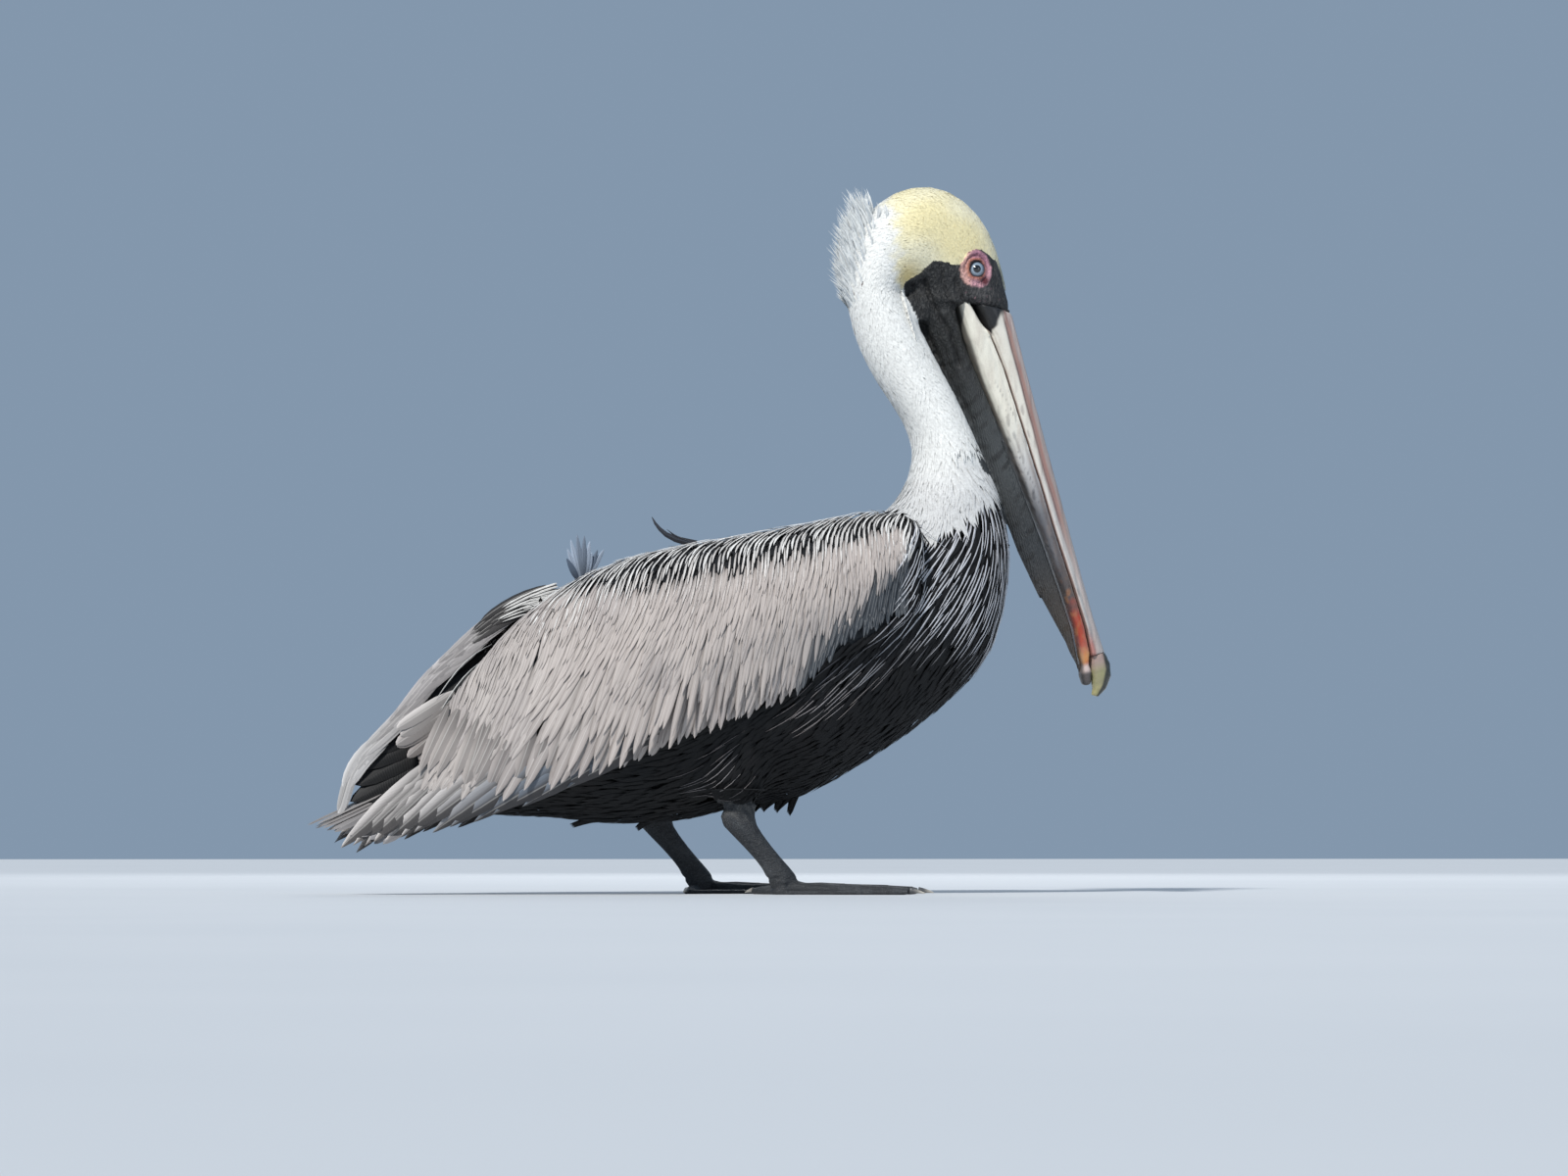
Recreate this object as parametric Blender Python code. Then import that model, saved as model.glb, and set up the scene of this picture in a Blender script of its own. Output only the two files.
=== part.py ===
"""Brown pelican, adult, life size: a still museum model that stands on its webbed feet.

Metres, +Z up, +X towards the bill, +Y on the bird's left. The origin is on the floor, in
the middle of the model's box. The body is lofted whole from the rump to the forehead and
parted by thin seams into trunk, neck and head. The wings are shells laid round the trunk.
"""

import math

import bmesh
import bpy
import numpy as np
from mathutils import Vector

# ---- driving dimensions ------------------------------------------------------------
SEAM = 0.0004  # clearance between neighbouring pieces
SIDES = 24  # points round a body section
RIGHT, LEFT = -1, 1  # the sign of Y on each side

# The body's sections. Each is the line from a point on the back to one on the belly,
# as (x, z, x, z), then the half width, and where the widest level is between belly and
# back. They stand upright in the trunk and fan out round the base of the neck.
TRUNK = [
    (-0.176, 0.094, -0.176, 0.063, 0.022, 0.50),
    (-0.164, 0.128, -0.165, 0.056, 0.036, 0.48),
    (-0.145, 0.162, -0.146, 0.054, 0.045, 0.46),
    (-0.118, 0.2005, -0.118, 0.053, 0.0635, 0.42),
    (-0.090, 0.217, -0.090, 0.050, 0.0715, 0.43),
    (-0.062, 0.2275, -0.062, 0.048, 0.0758, 0.46),
    (-0.020, 0.2370, -0.020, 0.051, 0.0802, 0.49),
    (0.022, 0.244, 0.022, 0.061, 0.0820, 0.52),
    (0.060, 0.2505, 0.061, 0.067, 0.0795, 0.57),
    (0.090, 0.257, 0.095, 0.0845, 0.0735, 0.60),
    (0.107, 0.262, 0.139, 0.1125, 0.068, 0.60),
    (0.119, 0.267, 0.1755, 0.142, 0.060, 0.58),
    (0.128, 0.274, 0.198, 0.170, 0.052, 0.55),
    (0.134, 0.282, 0.2090, 0.205, 0.0445, 0.52),
    (0.139, 0.292, 0.2126, 0.240, 0.037, 0.50),
]
NECK_LOW = [
    (0.1425, 0.304, 0.2076, 0.271, 0.0305, 0.50),
    (0.143, 0.318, 0.1970, 0.300, 0.0265, 0.50),
    (0.136, 0.336, 0.1860, 0.326, 0.0250, 0.50),
    (0.124, 0.354, 0.1747, 0.350, 0.0245, 0.50),
]
NECK_HIGH = [
    (0.112, 0.373, 0.1627, 0.373, 0.0245, 0.50),
    (0.101, 0.398, 0.1490, 0.397, 0.0250, 0.50),
]
# The head's sections swing round the corner of the throat, so each is given by its
# outer end alone, then the half width. The last one carries the base of the bill.
THROAT = (0.1385, 0.4232)
THROAT_RADIUS = 0.0025
HEAD = [
    (0.0955, 0.425, 0.0250),
    (0.0955, 0.441, 0.0265),
    (0.0990, 0.461, 0.0280),
    (0.1090, 0.4805, 0.0290),
    (0.1240, 0.4945, 0.0295),
    (0.1420, 0.5020, 0.0295),
    (0.1618, 0.5020, 0.0285),
    (0.1797, 0.4932, 0.0270),
    (0.1940, 0.4782, 0.0255),
    (0.2032, 0.4592, 0.0240),
    (0.2090, 0.4385, 0.0228),
    (0.2155, 0.4115, 0.0210),
]
HEAD_LEVEL = 0.52

# The bill's own frame: along it from the forehead, and out from the culmen line.
BILL_ROOT = (0.212, 0.412)
BILL_SLOPE = math.radians(15.17)  # from straight down, forwards
# Each bill section: (along, out) of its front end, (along, out) of its back end, half width.
# BASE stands for the place where the piece meets the head's last section.
BASE = None
MAXILLA = [
    (BASE, 0.0030, BASE, -0.0270, 0.0190),
    (0.0140, 0.0028, 0.0120, -0.0190, 0.0175),
    (0.0400, 0.0025, 0.0380, -0.0153, 0.0150),
    (0.0800, 0.0027, 0.0790, -0.0130, 0.0126),
    (0.1200, 0.0028, 0.1200, -0.0109, 0.0118),
    (0.1600, 0.0028, 0.1600, -0.0098, 0.0123),
    (0.2000, 0.0028, 0.2000, -0.0078, 0.0133),
    (0.2300, 0.0034, 0.2300, -0.0064, 0.0126),
    (0.2500, 0.0050, 0.2500, -0.0066, 0.0092),
]
NAIL = [
    (0.2504, 0.0052, 0.2504, -0.0067, 0.0085),
    (0.2590, 0.0070, 0.2590, -0.0084, 0.0072),
    (0.2680, 0.0052, 0.2670, -0.0094, 0.0062),
    (0.2755, -0.0005, 0.2730, -0.0100, 0.0044),
    (0.2795, -0.0075, 0.2770, -0.0118, 0.0018),
]
MANDIBLE = [
    (BASE, -0.0278, BASE, -0.0362, 0.0198),
    (0.0120, -0.0198, 0.0100, -0.0370, 0.0190),
    (0.0380, -0.0160, 0.0380, -0.0333, 0.0168),
    (0.0790, -0.0137, 0.0790, -0.0270, 0.0143),
    (0.1200, -0.0116, 0.1200, -0.0223, 0.0128),
    (0.1600, -0.0105, 0.1600, -0.0174, 0.0118),
    (0.2000, -0.0085, 0.2000, -0.0142, 0.0110),
    (0.2300, -0.0071, 0.2300, -0.0127, 0.0098),
    (0.2480, -0.0074, 0.2480, -0.0146, 0.0080),
    (0.2600, -0.0099, 0.2600, -0.0148, 0.0058),
    (0.2680, -0.0122, 0.2672, -0.0148, 0.0030),
]
POUCH = [
    (BASE, -0.0372, BASE, -0.0685, 0.0140),
    (0.0100, -0.0379, 0.0020, -0.0625, 0.0155),
    (0.0300, -0.0350, 0.0260, -0.0563, 0.0148),
    (0.0600, -0.0304, 0.0580, -0.0494, 0.0130),
    (0.1000, -0.0253, 0.0990, -0.0430, 0.0115),
    (0.1400, -0.0205, 0.1400, -0.0395, 0.0102),
    (0.1650, -0.0178, 0.1650, -0.0370, 0.0096),
    (0.1980, -0.0151, 0.1980, -0.0308, 0.0086),
    (0.2290, -0.0136, 0.2290, -0.0230, 0.0070),
    (0.2460, -0.0152, 0.2460, -0.0184, 0.0045),
]

# The folded arm of each wing: x, then (y, z) of the upper edge, (y, z) of the widest
# level, z of the lower edge, z towards which it curves in, and the thickness.
WING_ARM = [
    (0.1370, 0.045, 0.2600, 0.0710, 0.232, 0.2080, 0.045, 0.0040),
    (0.1270, 0.032, 0.2700, 0.0790, 0.223, 0.1920, 0.045, 0.0060),
    (0.1000, 0.011, 0.2725, 0.0890, 0.206, 0.1740, 0.045, 0.0120),
    (0.0600, 0.0006, 0.2645, 0.0940, 0.184, 0.1570, 0.045, 0.0125),
    (0.0220, 0.0006, 0.2575, 0.0965, 0.168, 0.1410, 0.045, 0.0125),
    (-0.0200, 0.0006, 0.2505, 0.0960, 0.154, 0.1170, 0.045, 0.0125),
    (-0.0620, 0.0006, 0.2415, 0.0920, 0.142, 0.0950, 0.045, 0.0120),
    (-0.0900, 0.0020, 0.2300, 0.0860, 0.130, 0.0840, 0.045, 0.0105),
    (-0.1180, 0.0070, 0.2140, 0.0770, 0.116, 0.0740, 0.045, 0.0090),
]
# The hand behind it, in the same terms. The left one lies higher than the right one, and
# their upper edges part over the rump.
WING_HAND = {
    "right": [
        (-0.1400, 0.0170, 0.1970, 0.0690, 0.106, 0.0660, 0.040, 0.0075),
        (-0.1600, 0.0270, 0.1770, 0.0610, 0.097, 0.0600, 0.035, 0.0060),
        (-0.1850, 0.0340, 0.1480, 0.0520, 0.086, 0.0550, 0.030, 0.0050),
        (-0.2050, 0.0330, 0.1210, 0.0450, 0.077, 0.0505, 0.025, 0.0045),
        (-0.2250, 0.0290, 0.0950, 0.0380, 0.068, 0.0480, 0.020, 0.0040),
        (-0.2450, 0.0220, 0.0700, 0.0290, 0.058, 0.0472, 0.020, 0.0030),
        (-0.2620, 0.0120, 0.0550, 0.0170, 0.052, 0.0482, 0.020, 0.0022),
    ],
    "left": [
        (-0.1400, 0.0180, 0.2040, 0.0690, 0.108, 0.0660, 0.040, 0.0075),
        (-0.1600, 0.0290, 0.1915, 0.0610, 0.100, 0.0600, 0.035, 0.0060),
        (-0.1850, 0.0350, 0.1700, 0.0530, 0.092, 0.0560, 0.030, 0.0050),
        (-0.2050, 0.0330, 0.1460, 0.0460, 0.085, 0.0530, 0.025, 0.0045),
        (-0.2250, 0.0280, 0.1220, 0.0380, 0.078, 0.0510, 0.020, 0.0040),
        (-0.2450, 0.0200, 0.1050, 0.0290, 0.072, 0.0500, 0.020, 0.0030),
        (-0.2590, 0.0120, 0.0860, 0.0180, 0.066, 0.0500, 0.020, 0.0025),
        (-0.2700, 0.0050, 0.0660, 0.0090, 0.059, 0.0500, 0.020, 0.0020),
    ],
}
WING_ROWS = 11  # points across it
# The long black quills lying between the wings: x, z of their top and underside, half width.
QUILLS = [
    (-0.1500, 0.1870, 0.1620, 0.0080),
    (-0.1750, 0.1650, 0.1250, 0.0125),
    (-0.2000, 0.1380, 0.0950, 0.0135),
    (-0.2250, 0.1080, 0.0750, 0.0105),
    (-0.2450, 0.0860, 0.0620, 0.0070),
    (-0.2580, 0.0690, 0.0560, 0.0035),
]
# The tail fan: x, z of its top and underside, half width. Its sides droop by TAIL_DROOP.
TAIL = [
    (-0.1765, 0.0720, 0.0500, 0.0330),
    (-0.2020, 0.0570, 0.0450, 0.0390),
    (-0.2350, 0.0510, 0.0430, 0.0440),
    (-0.2600, 0.0480, 0.0430, 0.0470),
    (-0.2760, 0.0470, 0.0435, 0.0360),
    (-0.2850, 0.0465, 0.0445, 0.0130),
]
TAIL_DROOP = 6.5  # metres down for each square metre of width
# The nape tuft: inner and outer ends of its sections, half width.
CREST = [
    (0.1000, 0.444, 0.0940, 0.445, 0.0040),
    (0.1040, 0.4590, 0.0915, 0.463, 0.0080),
    (0.1110, 0.4750, 0.0960, 0.484, 0.0100),
    (0.1180, 0.4840, 0.1060, 0.500, 0.0095),
    (0.1260, 0.4890, 0.1185, 0.5100, 0.0070),
    (0.1360, 0.4930, 0.1320, 0.5050, 0.0035),
]

EYE = (0.1846, 0.0172, 0.4423)  # the eyeball's centre: x, |y|, z
EYE_RADIUS = 0.0068

# Each leg: the side and where its ankle stands.
LEG_Y = 0.048
ANKLES = {"right": (RIGHT, 0.040), "left": (LEFT, -0.003)}
ANKLE_Z = 0.0125
# The bare shank: height, distance behind the ankle, half depth, half width.
SHANK = [
    (0.0600, 0.0300, 0.0110, 0.0070),
    (0.0510, 0.0315, 0.0120, 0.0076),
    (0.0410, 0.0245, 0.0106, 0.0062),
    (0.0280, 0.0130, 0.0094, 0.0051),
    (0.0180, 0.0045, 0.0098, 0.0058),
    (0.0125, 0.0010, 0.0106, 0.0068),
]
# The feathered thigh above it, in the same terms.
THIGH = [
    (0.1000, 0.040, 0.034, 0.020),
    (0.0830, 0.037, 0.028, 0.017),
    (0.0690, 0.033, 0.0185, 0.0125),
    (0.0604, 0.030, 0.0130, 0.0090),
]
# Toes: angle from straight ahead (inwards is positive), length, half width at root and tip.
TOES = [
    ("hallux", 112, 0.038, 0.0042, 0.0028),
    ("inner", 25, 0.070, 0.0050, 0.0032),
    ("middle", 0, 0.096, 0.0054, 0.0034),
    ("outer", -25, 0.090, 0.0050, 0.0032),
]
TOE_LINES = ((1.0, 0.0), (0.62, 0.78), (0.0, 1.0), (-0.62, 0.78), (-1.0, 0.0))
WEB_TOP, WEB_BOTTOM, WEB_SAG = 0.0024, 0.0006, 0.80
HEEL = ((-95, 0.0090), (-140, 0.0085), (180, 0.0080), (155, 0.0085))
HEEL_TOP = 0.003
KNUCKLE = 0.08  # how much a toe swells at its joints, of its width
# The foot's loft: the ankle's rings as height, half depth and half width, then how far out
# its rings over the toes and under them lie, as shares of the toes' length.
ANKLE_RINGS = ((ANKLE_Z - SEAM, 0.0090, 0.0060), (0.0092, 0.0100, 0.0072))
FOOT_TOP = (0.18, 0.28, 0.42, 0.58, 0.74, 0.88, 0.96, 1.0)
FOOT_SOLE = (0.99, 0.90, 0.50, 0.20)
CLAW_LENGTH = 0.011
# A claw's sections: how far along it, and its size there as a share of the toe's tip.
CLAW_ROWS = ((0.0, 0.72), (0.35, 0.517), (0.7, 0.314), (1.0, 0.14))
CLAW_TOP, CLAW_DROP = 0.0029, 0.0018

COLOURS = {
    "grey_feather": ((0.42, 0.38, 0.36), 0.75),
    "dark_feather": ((0.02, 0.02, 0.022), 0.70),
    "white_feather": ((0.85, 0.85, 0.83), 0.80),
    "yellow_feather": ((0.78, 0.72, 0.46), 0.80),
    "bare_skin": ((0.06, 0.065, 0.07), 0.55),
    "bill_horn": ((0.55, 0.52, 0.47), 0.45),
    "nail_horn": ((0.30, 0.28, 0.12), 0.35),
    "eyeball": ((0.35, 0.40, 0.42), 0.08),
    "leg_skin": ((0.05, 0.055, 0.06), 0.60),
    "claw_horn": ((0.12, 0.11, 0.10), 0.40),
}


# ---- helpers -----------------------------------------------------------------------
def clear_scene():
    for obj in list(bpy.data.objects):
        bpy.data.objects.remove(obj)


def collection(name, hidden=False):
    made = bpy.data.collections.new(name)
    made.hide_render = hidden
    bpy.context.scene.collection.children.link(made)
    return made


def material(name):
    made = bpy.data.materials.get(name)
    if made:
        return made
    colour, roughness = COLOURS[name]
    made = bpy.data.materials.new(name)
    made.use_nodes = True
    shader = made.node_tree.nodes["Principled BSDF"]
    shader.inputs["Base Color"].default_value = (*colour, 1.0)
    shader.inputs["Roughness"].default_value = roughness
    shader.inputs["Metallic"].default_value = 0.0
    return made


def solid(name, rings, colour, where, closed_ends=True):
    """An object lofted through rings of equally many points, each ring a list of (x, y, z)."""
    mesh = bpy.data.meshes.new(name)
    count = len(rings[0])
    points = [tuple(p) for ring in rings for p in ring]
    faces = []
    for i in range(len(rings) - 1):
        for j in range(count):
            k = (j + 1) % count
            a, b = i * count, (i + 1) * count
            faces.append((a + j, a + k, b + k, b + j))
    if closed_ends:
        faces.append(tuple(range(count - 1, -1, -1)))
        last = (len(rings) - 1) * count
        faces.append(tuple(last + j for j in range(count)))
    mesh.from_pydata(points, [], faces)
    face_outwards(mesh)
    mesh.shade_smooth()
    mesh.set_sharp_from_angle(angle=math.radians(50))
    obj = bpy.data.objects.new(name, mesh)
    obj.data.materials.append(material(colour))
    where.objects.link(obj)
    return obj


def face_outwards(mesh):
    shape = bmesh.new()
    shape.from_mesh(mesh)
    bmesh.ops.recalc_face_normals(shape, faces=shape.faces)
    if shape.calc_volume(signed=True) < 0:
        bmesh.ops.reverse_faces(shape, faces=shape.faces)
    shape.to_mesh(mesh)
    shape.free()


def smooth_rows(rows, per_step, first=0.0, last=None):
    """Rows of numbers read from a Catmull-Rom curve through the given rows, from row
    number first to row number last, with per_step samples for each row."""
    rows = np.array(rows, float)
    end = len(rows) - 1.0 if last is None else last
    inner = np.arange(math.floor(first * per_step) + 1, math.ceil(end * per_step)) / per_step
    made = []
    for t in (first, *inner, end):
        i = min(int(t), len(rows) - 2)
        f = t - i
        p1, p2 = rows[i], rows[i + 1]
        p0 = rows[i - 1] if i > 0 else 2 * p1 - p2
        p3 = rows[i + 2] if i + 2 < len(rows) else 2 * p2 - p1
        made.append(
            0.5 * (2 * p1 + (p2 - p0) * f + (2 * p0 - 5 * p1 + 4 * p2 - p3) * f**2
                   + (3 * p1 - p0 - 3 * p2 + p3) * f**3)
        )
    return made


def oval(back, belly, half_width, level, power=2.0, sides=SIDES, swell=0.0, y=0.0):
    """A ring between two (x, z) points, widest at the given level from belly to back."""
    back, belly = np.array(back), np.array(belly)
    along = back - belly
    reach = np.linalg.norm(along)
    unit = along / reach
    up, down = (1 - level) * reach + swell, level * reach + swell
    centre = belly + unit * level * reach
    ring = []
    for j in range(sides):
        a = 2 * math.pi * (j + 0.5) / sides
        c, s = math.cos(a), math.sin(a)
        high = math.copysign(abs(c) ** (2 / power), c)
        wide = math.copysign(abs(s) ** (2 / power), s)
        x, z = centre + unit * high * (up if c > 0 else down)
        ring.append((x, y + wide * (half_width + swell), z))
    return ring


def boolean(obj, other, operation):
    """Applies a Boolean to obj and hides the other mesh."""
    modifier = obj.modifiers.new(operation.lower(), "BOOLEAN")
    modifier.operation = operation
    modifier.solver = "EXACT"
    modifier.object = other
    graph = bpy.context.evaluated_depsgraph_get()
    made = bpy.data.meshes.new_from_object(obj.evaluated_get(graph))
    obj.modifiers.clear()
    obj.data = made


# ---- body: trunk, neck and head ----------------------------------------------------
def body_rows():
    """Every section of the body in one list: back, belly, half width, level."""
    swing = np.array(THROAT)
    rows = [*TRUNK, *NECK_LOW, *NECK_HIGH]
    for x, z, half_width in HEAD:
        out = np.array((x, z)) - swing
        inner = swing + out / np.linalg.norm(out) * THROAT_RADIUS
        rows.append((x, z, *inner, half_width, HEAD_LEVEL))
    return rows


def seam_after(rows, i):
    """Half a seam at row i, as a share of the step to its neighbours."""
    steps = []
    for j in (i - 1, i + 1):
        if 0 <= j < len(rows):
            step = np.array(rows[j]) - np.array(rows[i])
            steps += [np.hypot(step[0], step[1]), np.hypot(step[2], step[3])]
    return 0.5 * SEAM / min(steps)


def body_rings(rows, start, stop, per_step, swell=0.0):
    """Rings from row start to row stop, held back by half a seam at an inner end."""
    first = start + (seam_after(rows, start) if start > 0 else 0.0)
    last = stop - (seam_after(rows, stop) if stop < len(rows) - 1 else 0.0)
    return [
        oval(row[0:2], row[2:4], row[4], row[5], swell=swell)
        for row in smooth_rows(rows, per_step, first, last)
    ]


def make_body(parts):
    rows = body_rows()
    marks = np.cumsum([0, len(TRUNK) - 1, len(NECK_LOW), len(NECK_HIGH), len(HEAD)])
    plan = [
        ("trunk", "dark_feather", 1.5),
        ("neck_lower", "white_feather", 2),
        ("neck_upper", "white_feather", 2),
        ("head", "yellow_feather", 1.5),
    ]
    made = {}
    for (name, colour, per_step), start, stop in zip(plan, marks, marks[1:]):
        rings = body_rings(rows, start, stop, per_step)
        made[name] = solid(name, rings, colour, parts)
    return made


def clearance(name, start, stop, per_step, cutters):
    """A length of the body a little swollen, for cutting its neighbours clear of it."""
    rings = body_rings(body_rows(), start, stop, per_step, SEAM * 1.5)
    return solid(name, rings, "dark_feather", cutters)


# ---- bill --------------------------------------------------------------------------
def bill_point(along, out):
    """The (x, z) of a place in the bill's own frame."""
    down, ahead = math.cos(BILL_SLOPE), math.sin(BILL_SLOPE)
    x = BILL_ROOT[0] + along * ahead + out * down
    return x, BILL_ROOT[1] - along * down + out * ahead


def base_along(out):
    """How far along the bill the head's last section lies, out from the culmen line."""
    top = np.array(HEAD[-1][:2])
    across = top - np.array(THROAT)
    normal = np.array((across[1], -across[0])) / np.linalg.norm(across)
    start, ahead = np.array(bill_point(0, out)), np.array(bill_point(1, out))
    return (SEAM * 1.5 + (top - start) @ normal) / ((ahead - start) @ normal)


def bill_piece(name, rows, colour, level, power, parts, per_step=1, sides=16):
    first = rows[0]
    if first[0] is BASE:
        rows = [(base_along(first[1]), first[1], base_along(first[3]), *first[3:]), *rows[1:]]
    rings = [
        oval(bill_point(r[0], r[1]), bill_point(r[2], r[3]), r[4], level, power, sides)
        for r in smooth_rows(rows, per_step)
    ]
    return solid(name, rings, colour, parts)


def make_bill(parts):
    bill_piece("bill_upper", MAXILLA, "bill_horn", 0.30, 2.0, parts)
    bill_piece("bill_nail", NAIL, "nail_horn", 0.45, 2.0, parts)
    bill_piece("bill_lower", MANDIBLE, "bill_horn", 0.62, 2.6, parts)
    bill_piece("pouch", POUCH, "bare_skin", 0.80, 1.8, parts)


# ---- head's small parts ------------------------------------------------------------
def ball(name, centre, radius, colour, where, segments=16):
    mesh = bpy.data.meshes.new(name)
    shape = bmesh.new()
    bmesh.ops.create_uvsphere(shape, u_segments=segments, v_segments=segments // 2, radius=radius)
    shape.to_mesh(mesh)
    shape.free()
    mesh.shade_smooth()
    obj = bpy.data.objects.new(name, mesh)
    obj.location = centre
    obj.data.materials.append(material(colour))
    where.objects.link(obj)
    return obj


def make_eyes(head, parts, cutters):
    x, y, z = EYE
    for side, name in ((RIGHT, "right"), (LEFT, "left")):
        centre = Vector((x, side * y, z))
        ball(f"eye_{name}", centre, EYE_RADIUS, "eyeball", parts)
        socket = ball(f"socket_{name}", centre, EYE_RADIUS + SEAM, "bare_skin", cutters)
        bpy.context.view_layer.update()
        boolean(head, socket, "DIFFERENCE")


def make_crest(parts, head_clearance):
    rings = [
        oval(r[2:4], r[0:2], r[4], 0.4, 2.0, 12) for r in smooth_rows(CREST, 1.5)
    ]
    crest = solid("crest", rings, "white_feather", parts)
    boolean(crest, head_clearance, "DIFFERENCE")


# ---- wings, quills and tail --------------------------------------------------------
def wing_column(row, side):
    """Outer and inner points of the wing's cross-section at one x, from its upper edge to
    its lower edge."""
    x, top_y, top_z, wide_y, wide_z, low_z, under_z, thick = row
    dip = min(1.0, (wide_z - low_z) / (wide_z - under_z))
    turn = math.pi / 2 + math.asin(max(0.0, dip))
    outer, inner = [], []
    for j in range(WING_ROWS):
        v = j / (WING_ROWS - 1)
        a = turn * v
        edge = min(1.0, 0.35 + 3.0 * min(v * 1.6, 1 - v))  # it thins towards both edges
        for points, back in ((outer, thick * (1 - edge)), (inner, thick)):
            if a <= math.pi / 2:
                y = top_y + (wide_y - back - top_y) * math.sin(a)
                z = wide_z + (top_z - back - wide_z) * math.cos(a)
            else:
                y = (wide_y - back) * math.sin(a)
                z = wide_z + (wide_z - under_z) * math.cos(a)
            points.append((x, side * y, z))
    return outer, inner


def make_wings(parts):
    """Each folded wing is an arm over the trunk and a hand of long quills behind it."""
    split = len(WING_ARM) - 1
    half_seam = 0.5 * SEAM / (WING_ARM[-1][0] - WING_HAND["left"][0][0])
    for side, name in ((RIGHT, "right"), (LEFT, "left")):
        rows = WING_ARM + WING_HAND[name]
        spans = {
            "arm": (0.0, split - half_seam),
            "hand": (split + half_seam, len(rows) - 1.0),
        }
        for part, (first, last) in spans.items():
            rings = []
            for row in smooth_rows(rows, 1, first, last):
                outer, inner = wing_column(row, side)
                rings.append(outer + inner[::-1])
            solid(f"wing_{part}_{name}", rings, "grey_feather", parts)


def make_quills(parts):
    for side, name in ((RIGHT, "right"), (LEFT, "left")):
        rings = [
            oval((x, top), (x, low), half, 0.5, 2.4, 12, y=side * (half + SEAM))
            for x, top, low, half in smooth_rows(QUILLS, 1)
        ]
        solid(f"quills_{name}", rings, "dark_feather", parts)


def make_tail(parts):
    rings = [
        [(px, y, z - TAIL_DROOP * y * y) for px, y, z in oval((x, top), (x, low), half, 0.5, 2.6)]
        for x, top, low, half in smooth_rows(TAIL, 1.5)
    ]
    solid("tail", rings, "grey_feather", parts)


# ---- legs and feet -----------------------------------------------------------------
def leg_rings(rows, ankle_x, side, per_step):
    rings = []
    for z, behind, deep, wide in smooth_rows(rows, per_step):
        ring = []
        for j in range(12):
            a = 2 * math.pi * j / 12
            x = ankle_x - behind + deep * math.cos(a)
            ring.append((x, side * LEG_Y + wide * math.sin(a), z))
        rings.append(ring)
    return rings


def toe_direction(angle, side):
    a = math.radians(angle)
    return np.array((math.cos(a), -side * math.sin(a)))


def toe_place(toe, side, share, line, lean):
    """A place on a toe: how far along it from 0 to 1, and which of its lines from side to
    side. Returns its (x, y) from the ankle and how high the toe stands there."""
    _, angle, length, root, tip = toe
    line, height = TOE_LINES[line]
    half = (root + (tip - root) * share) * (1 + KNUCKLE * math.cos(share * 6 * math.pi))
    half *= math.sqrt(1 - 0.45 * max(0.0, (share - 0.90) / 0.10) ** 2)
    along = length * share
    off = line * min(half, along * math.tan(math.radians(lean)))
    direction = toe_direction(angle, side)
    across = toe_direction(angle + 90, side)
    return direction * along + across * off, 1.7 * half * height


def foot_lines(side, share):
    """Every line that runs out from the ankle, at one share of its length: (x, y) and how
    high a toe stands there, which is 0 on the web between the toes."""
    places = []
    for i, toe in enumerate(TOES):
        lean = 11 if i else 16
        places += [(*toe_place(toe, side, share, k, lean), True) for k in range(len(TOE_LINES))]
        if i + 1 < len(TOES):
            ends = [toe_direction(t[1], side) * t[2] * 0.97 for t in (toe, TOES[i + 1])]
            middle = (ends[0] + ends[1]) / 2 * WEB_SAG
            for t in (0.25, 0.5, 0.75):
                end = (1 - t) ** 2 * ends[0] + 2 * t * (1 - t) * middle + t**2 * ends[1]
                places.append((end * share, 0.0, False))
    for angle, radius in HEEL:
        places.append((toe_direction(angle, side) * radius * (0.6 + 0.4 * share), HEEL_TOP, True))
    return places


def make_foot(name, side, ankle_x, parts):
    """The foot in one loft: from the top of the ankle out over the toes and the web to
    their rim, then back under them to the sole's middle."""
    rings = []
    base = foot_lines(side, 0.25)
    for z, deep, wide in ANKLE_RINGS:
        ring = []
        for (x, y), _, _ in base:
            reach = math.hypot(x, y)
            ring.append((deep * x / reach, wide * y / reach, z))
        rings.append(ring)
    for share in FOOT_TOP:
        fade = 1 - 0.12 * max(0.0, (share - 0.92) / 0.08)
        ring = []
        for (x, y), height, _ in foot_lines(side, share):
            ring.append((x, y, max(WEB_TOP, height * fade) + 0.004 * max(0.0, 0.27 - share)))
        rings.append(ring)
    for share in FOOT_SOLE:
        ring = []
        for i, ((x, y), _, firm) in enumerate(foot_lines(side, share)):
            edge = firm and i < len(base) - len(HEEL) and i % 8 in (0, 4)
            lifted = not firm or edge or share > 0.98
            ring.append((x, y, WEB_BOTTOM if lifted else 0.0))
        rings.append(ring)
    place = (ankle_x, side * LEG_Y)
    rings = [[(x + place[0], y + place[1], z) for x, y, z in ring] for ring in rings]
    solid(f"foot_{name}", rings, "leg_skin", parts)
    for toe, angle, length, _, tip in TOES:
        direction = toe_direction(angle, side)
        make_claw(f"claw_{toe}_{name}", np.array(place), direction, length, tip, parts)


def make_claw(name, ankle, direction, length, radius, parts):
    """A claw curving down from just past the toe's end to the floor."""
    rings = []
    start = ankle + direction * (length + SEAM)
    across = np.array((-direction[1], direction[0]))
    for share, thick in CLAW_ROWS:
        size = radius * thick
        centre = start + direction * CLAW_LENGTH * share
        rise = CLAW_TOP - CLAW_DROP * share**1.6
        ring = []
        for j in range(8):
            a = 2 * math.pi * (j + 0.5) / 8
            x, y = centre + across * size * math.cos(a)
            ring.append((x, y, rise + size * math.sin(a)))
        rings.append(ring)
    solid(name, rings, "claw_horn", parts)


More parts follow.
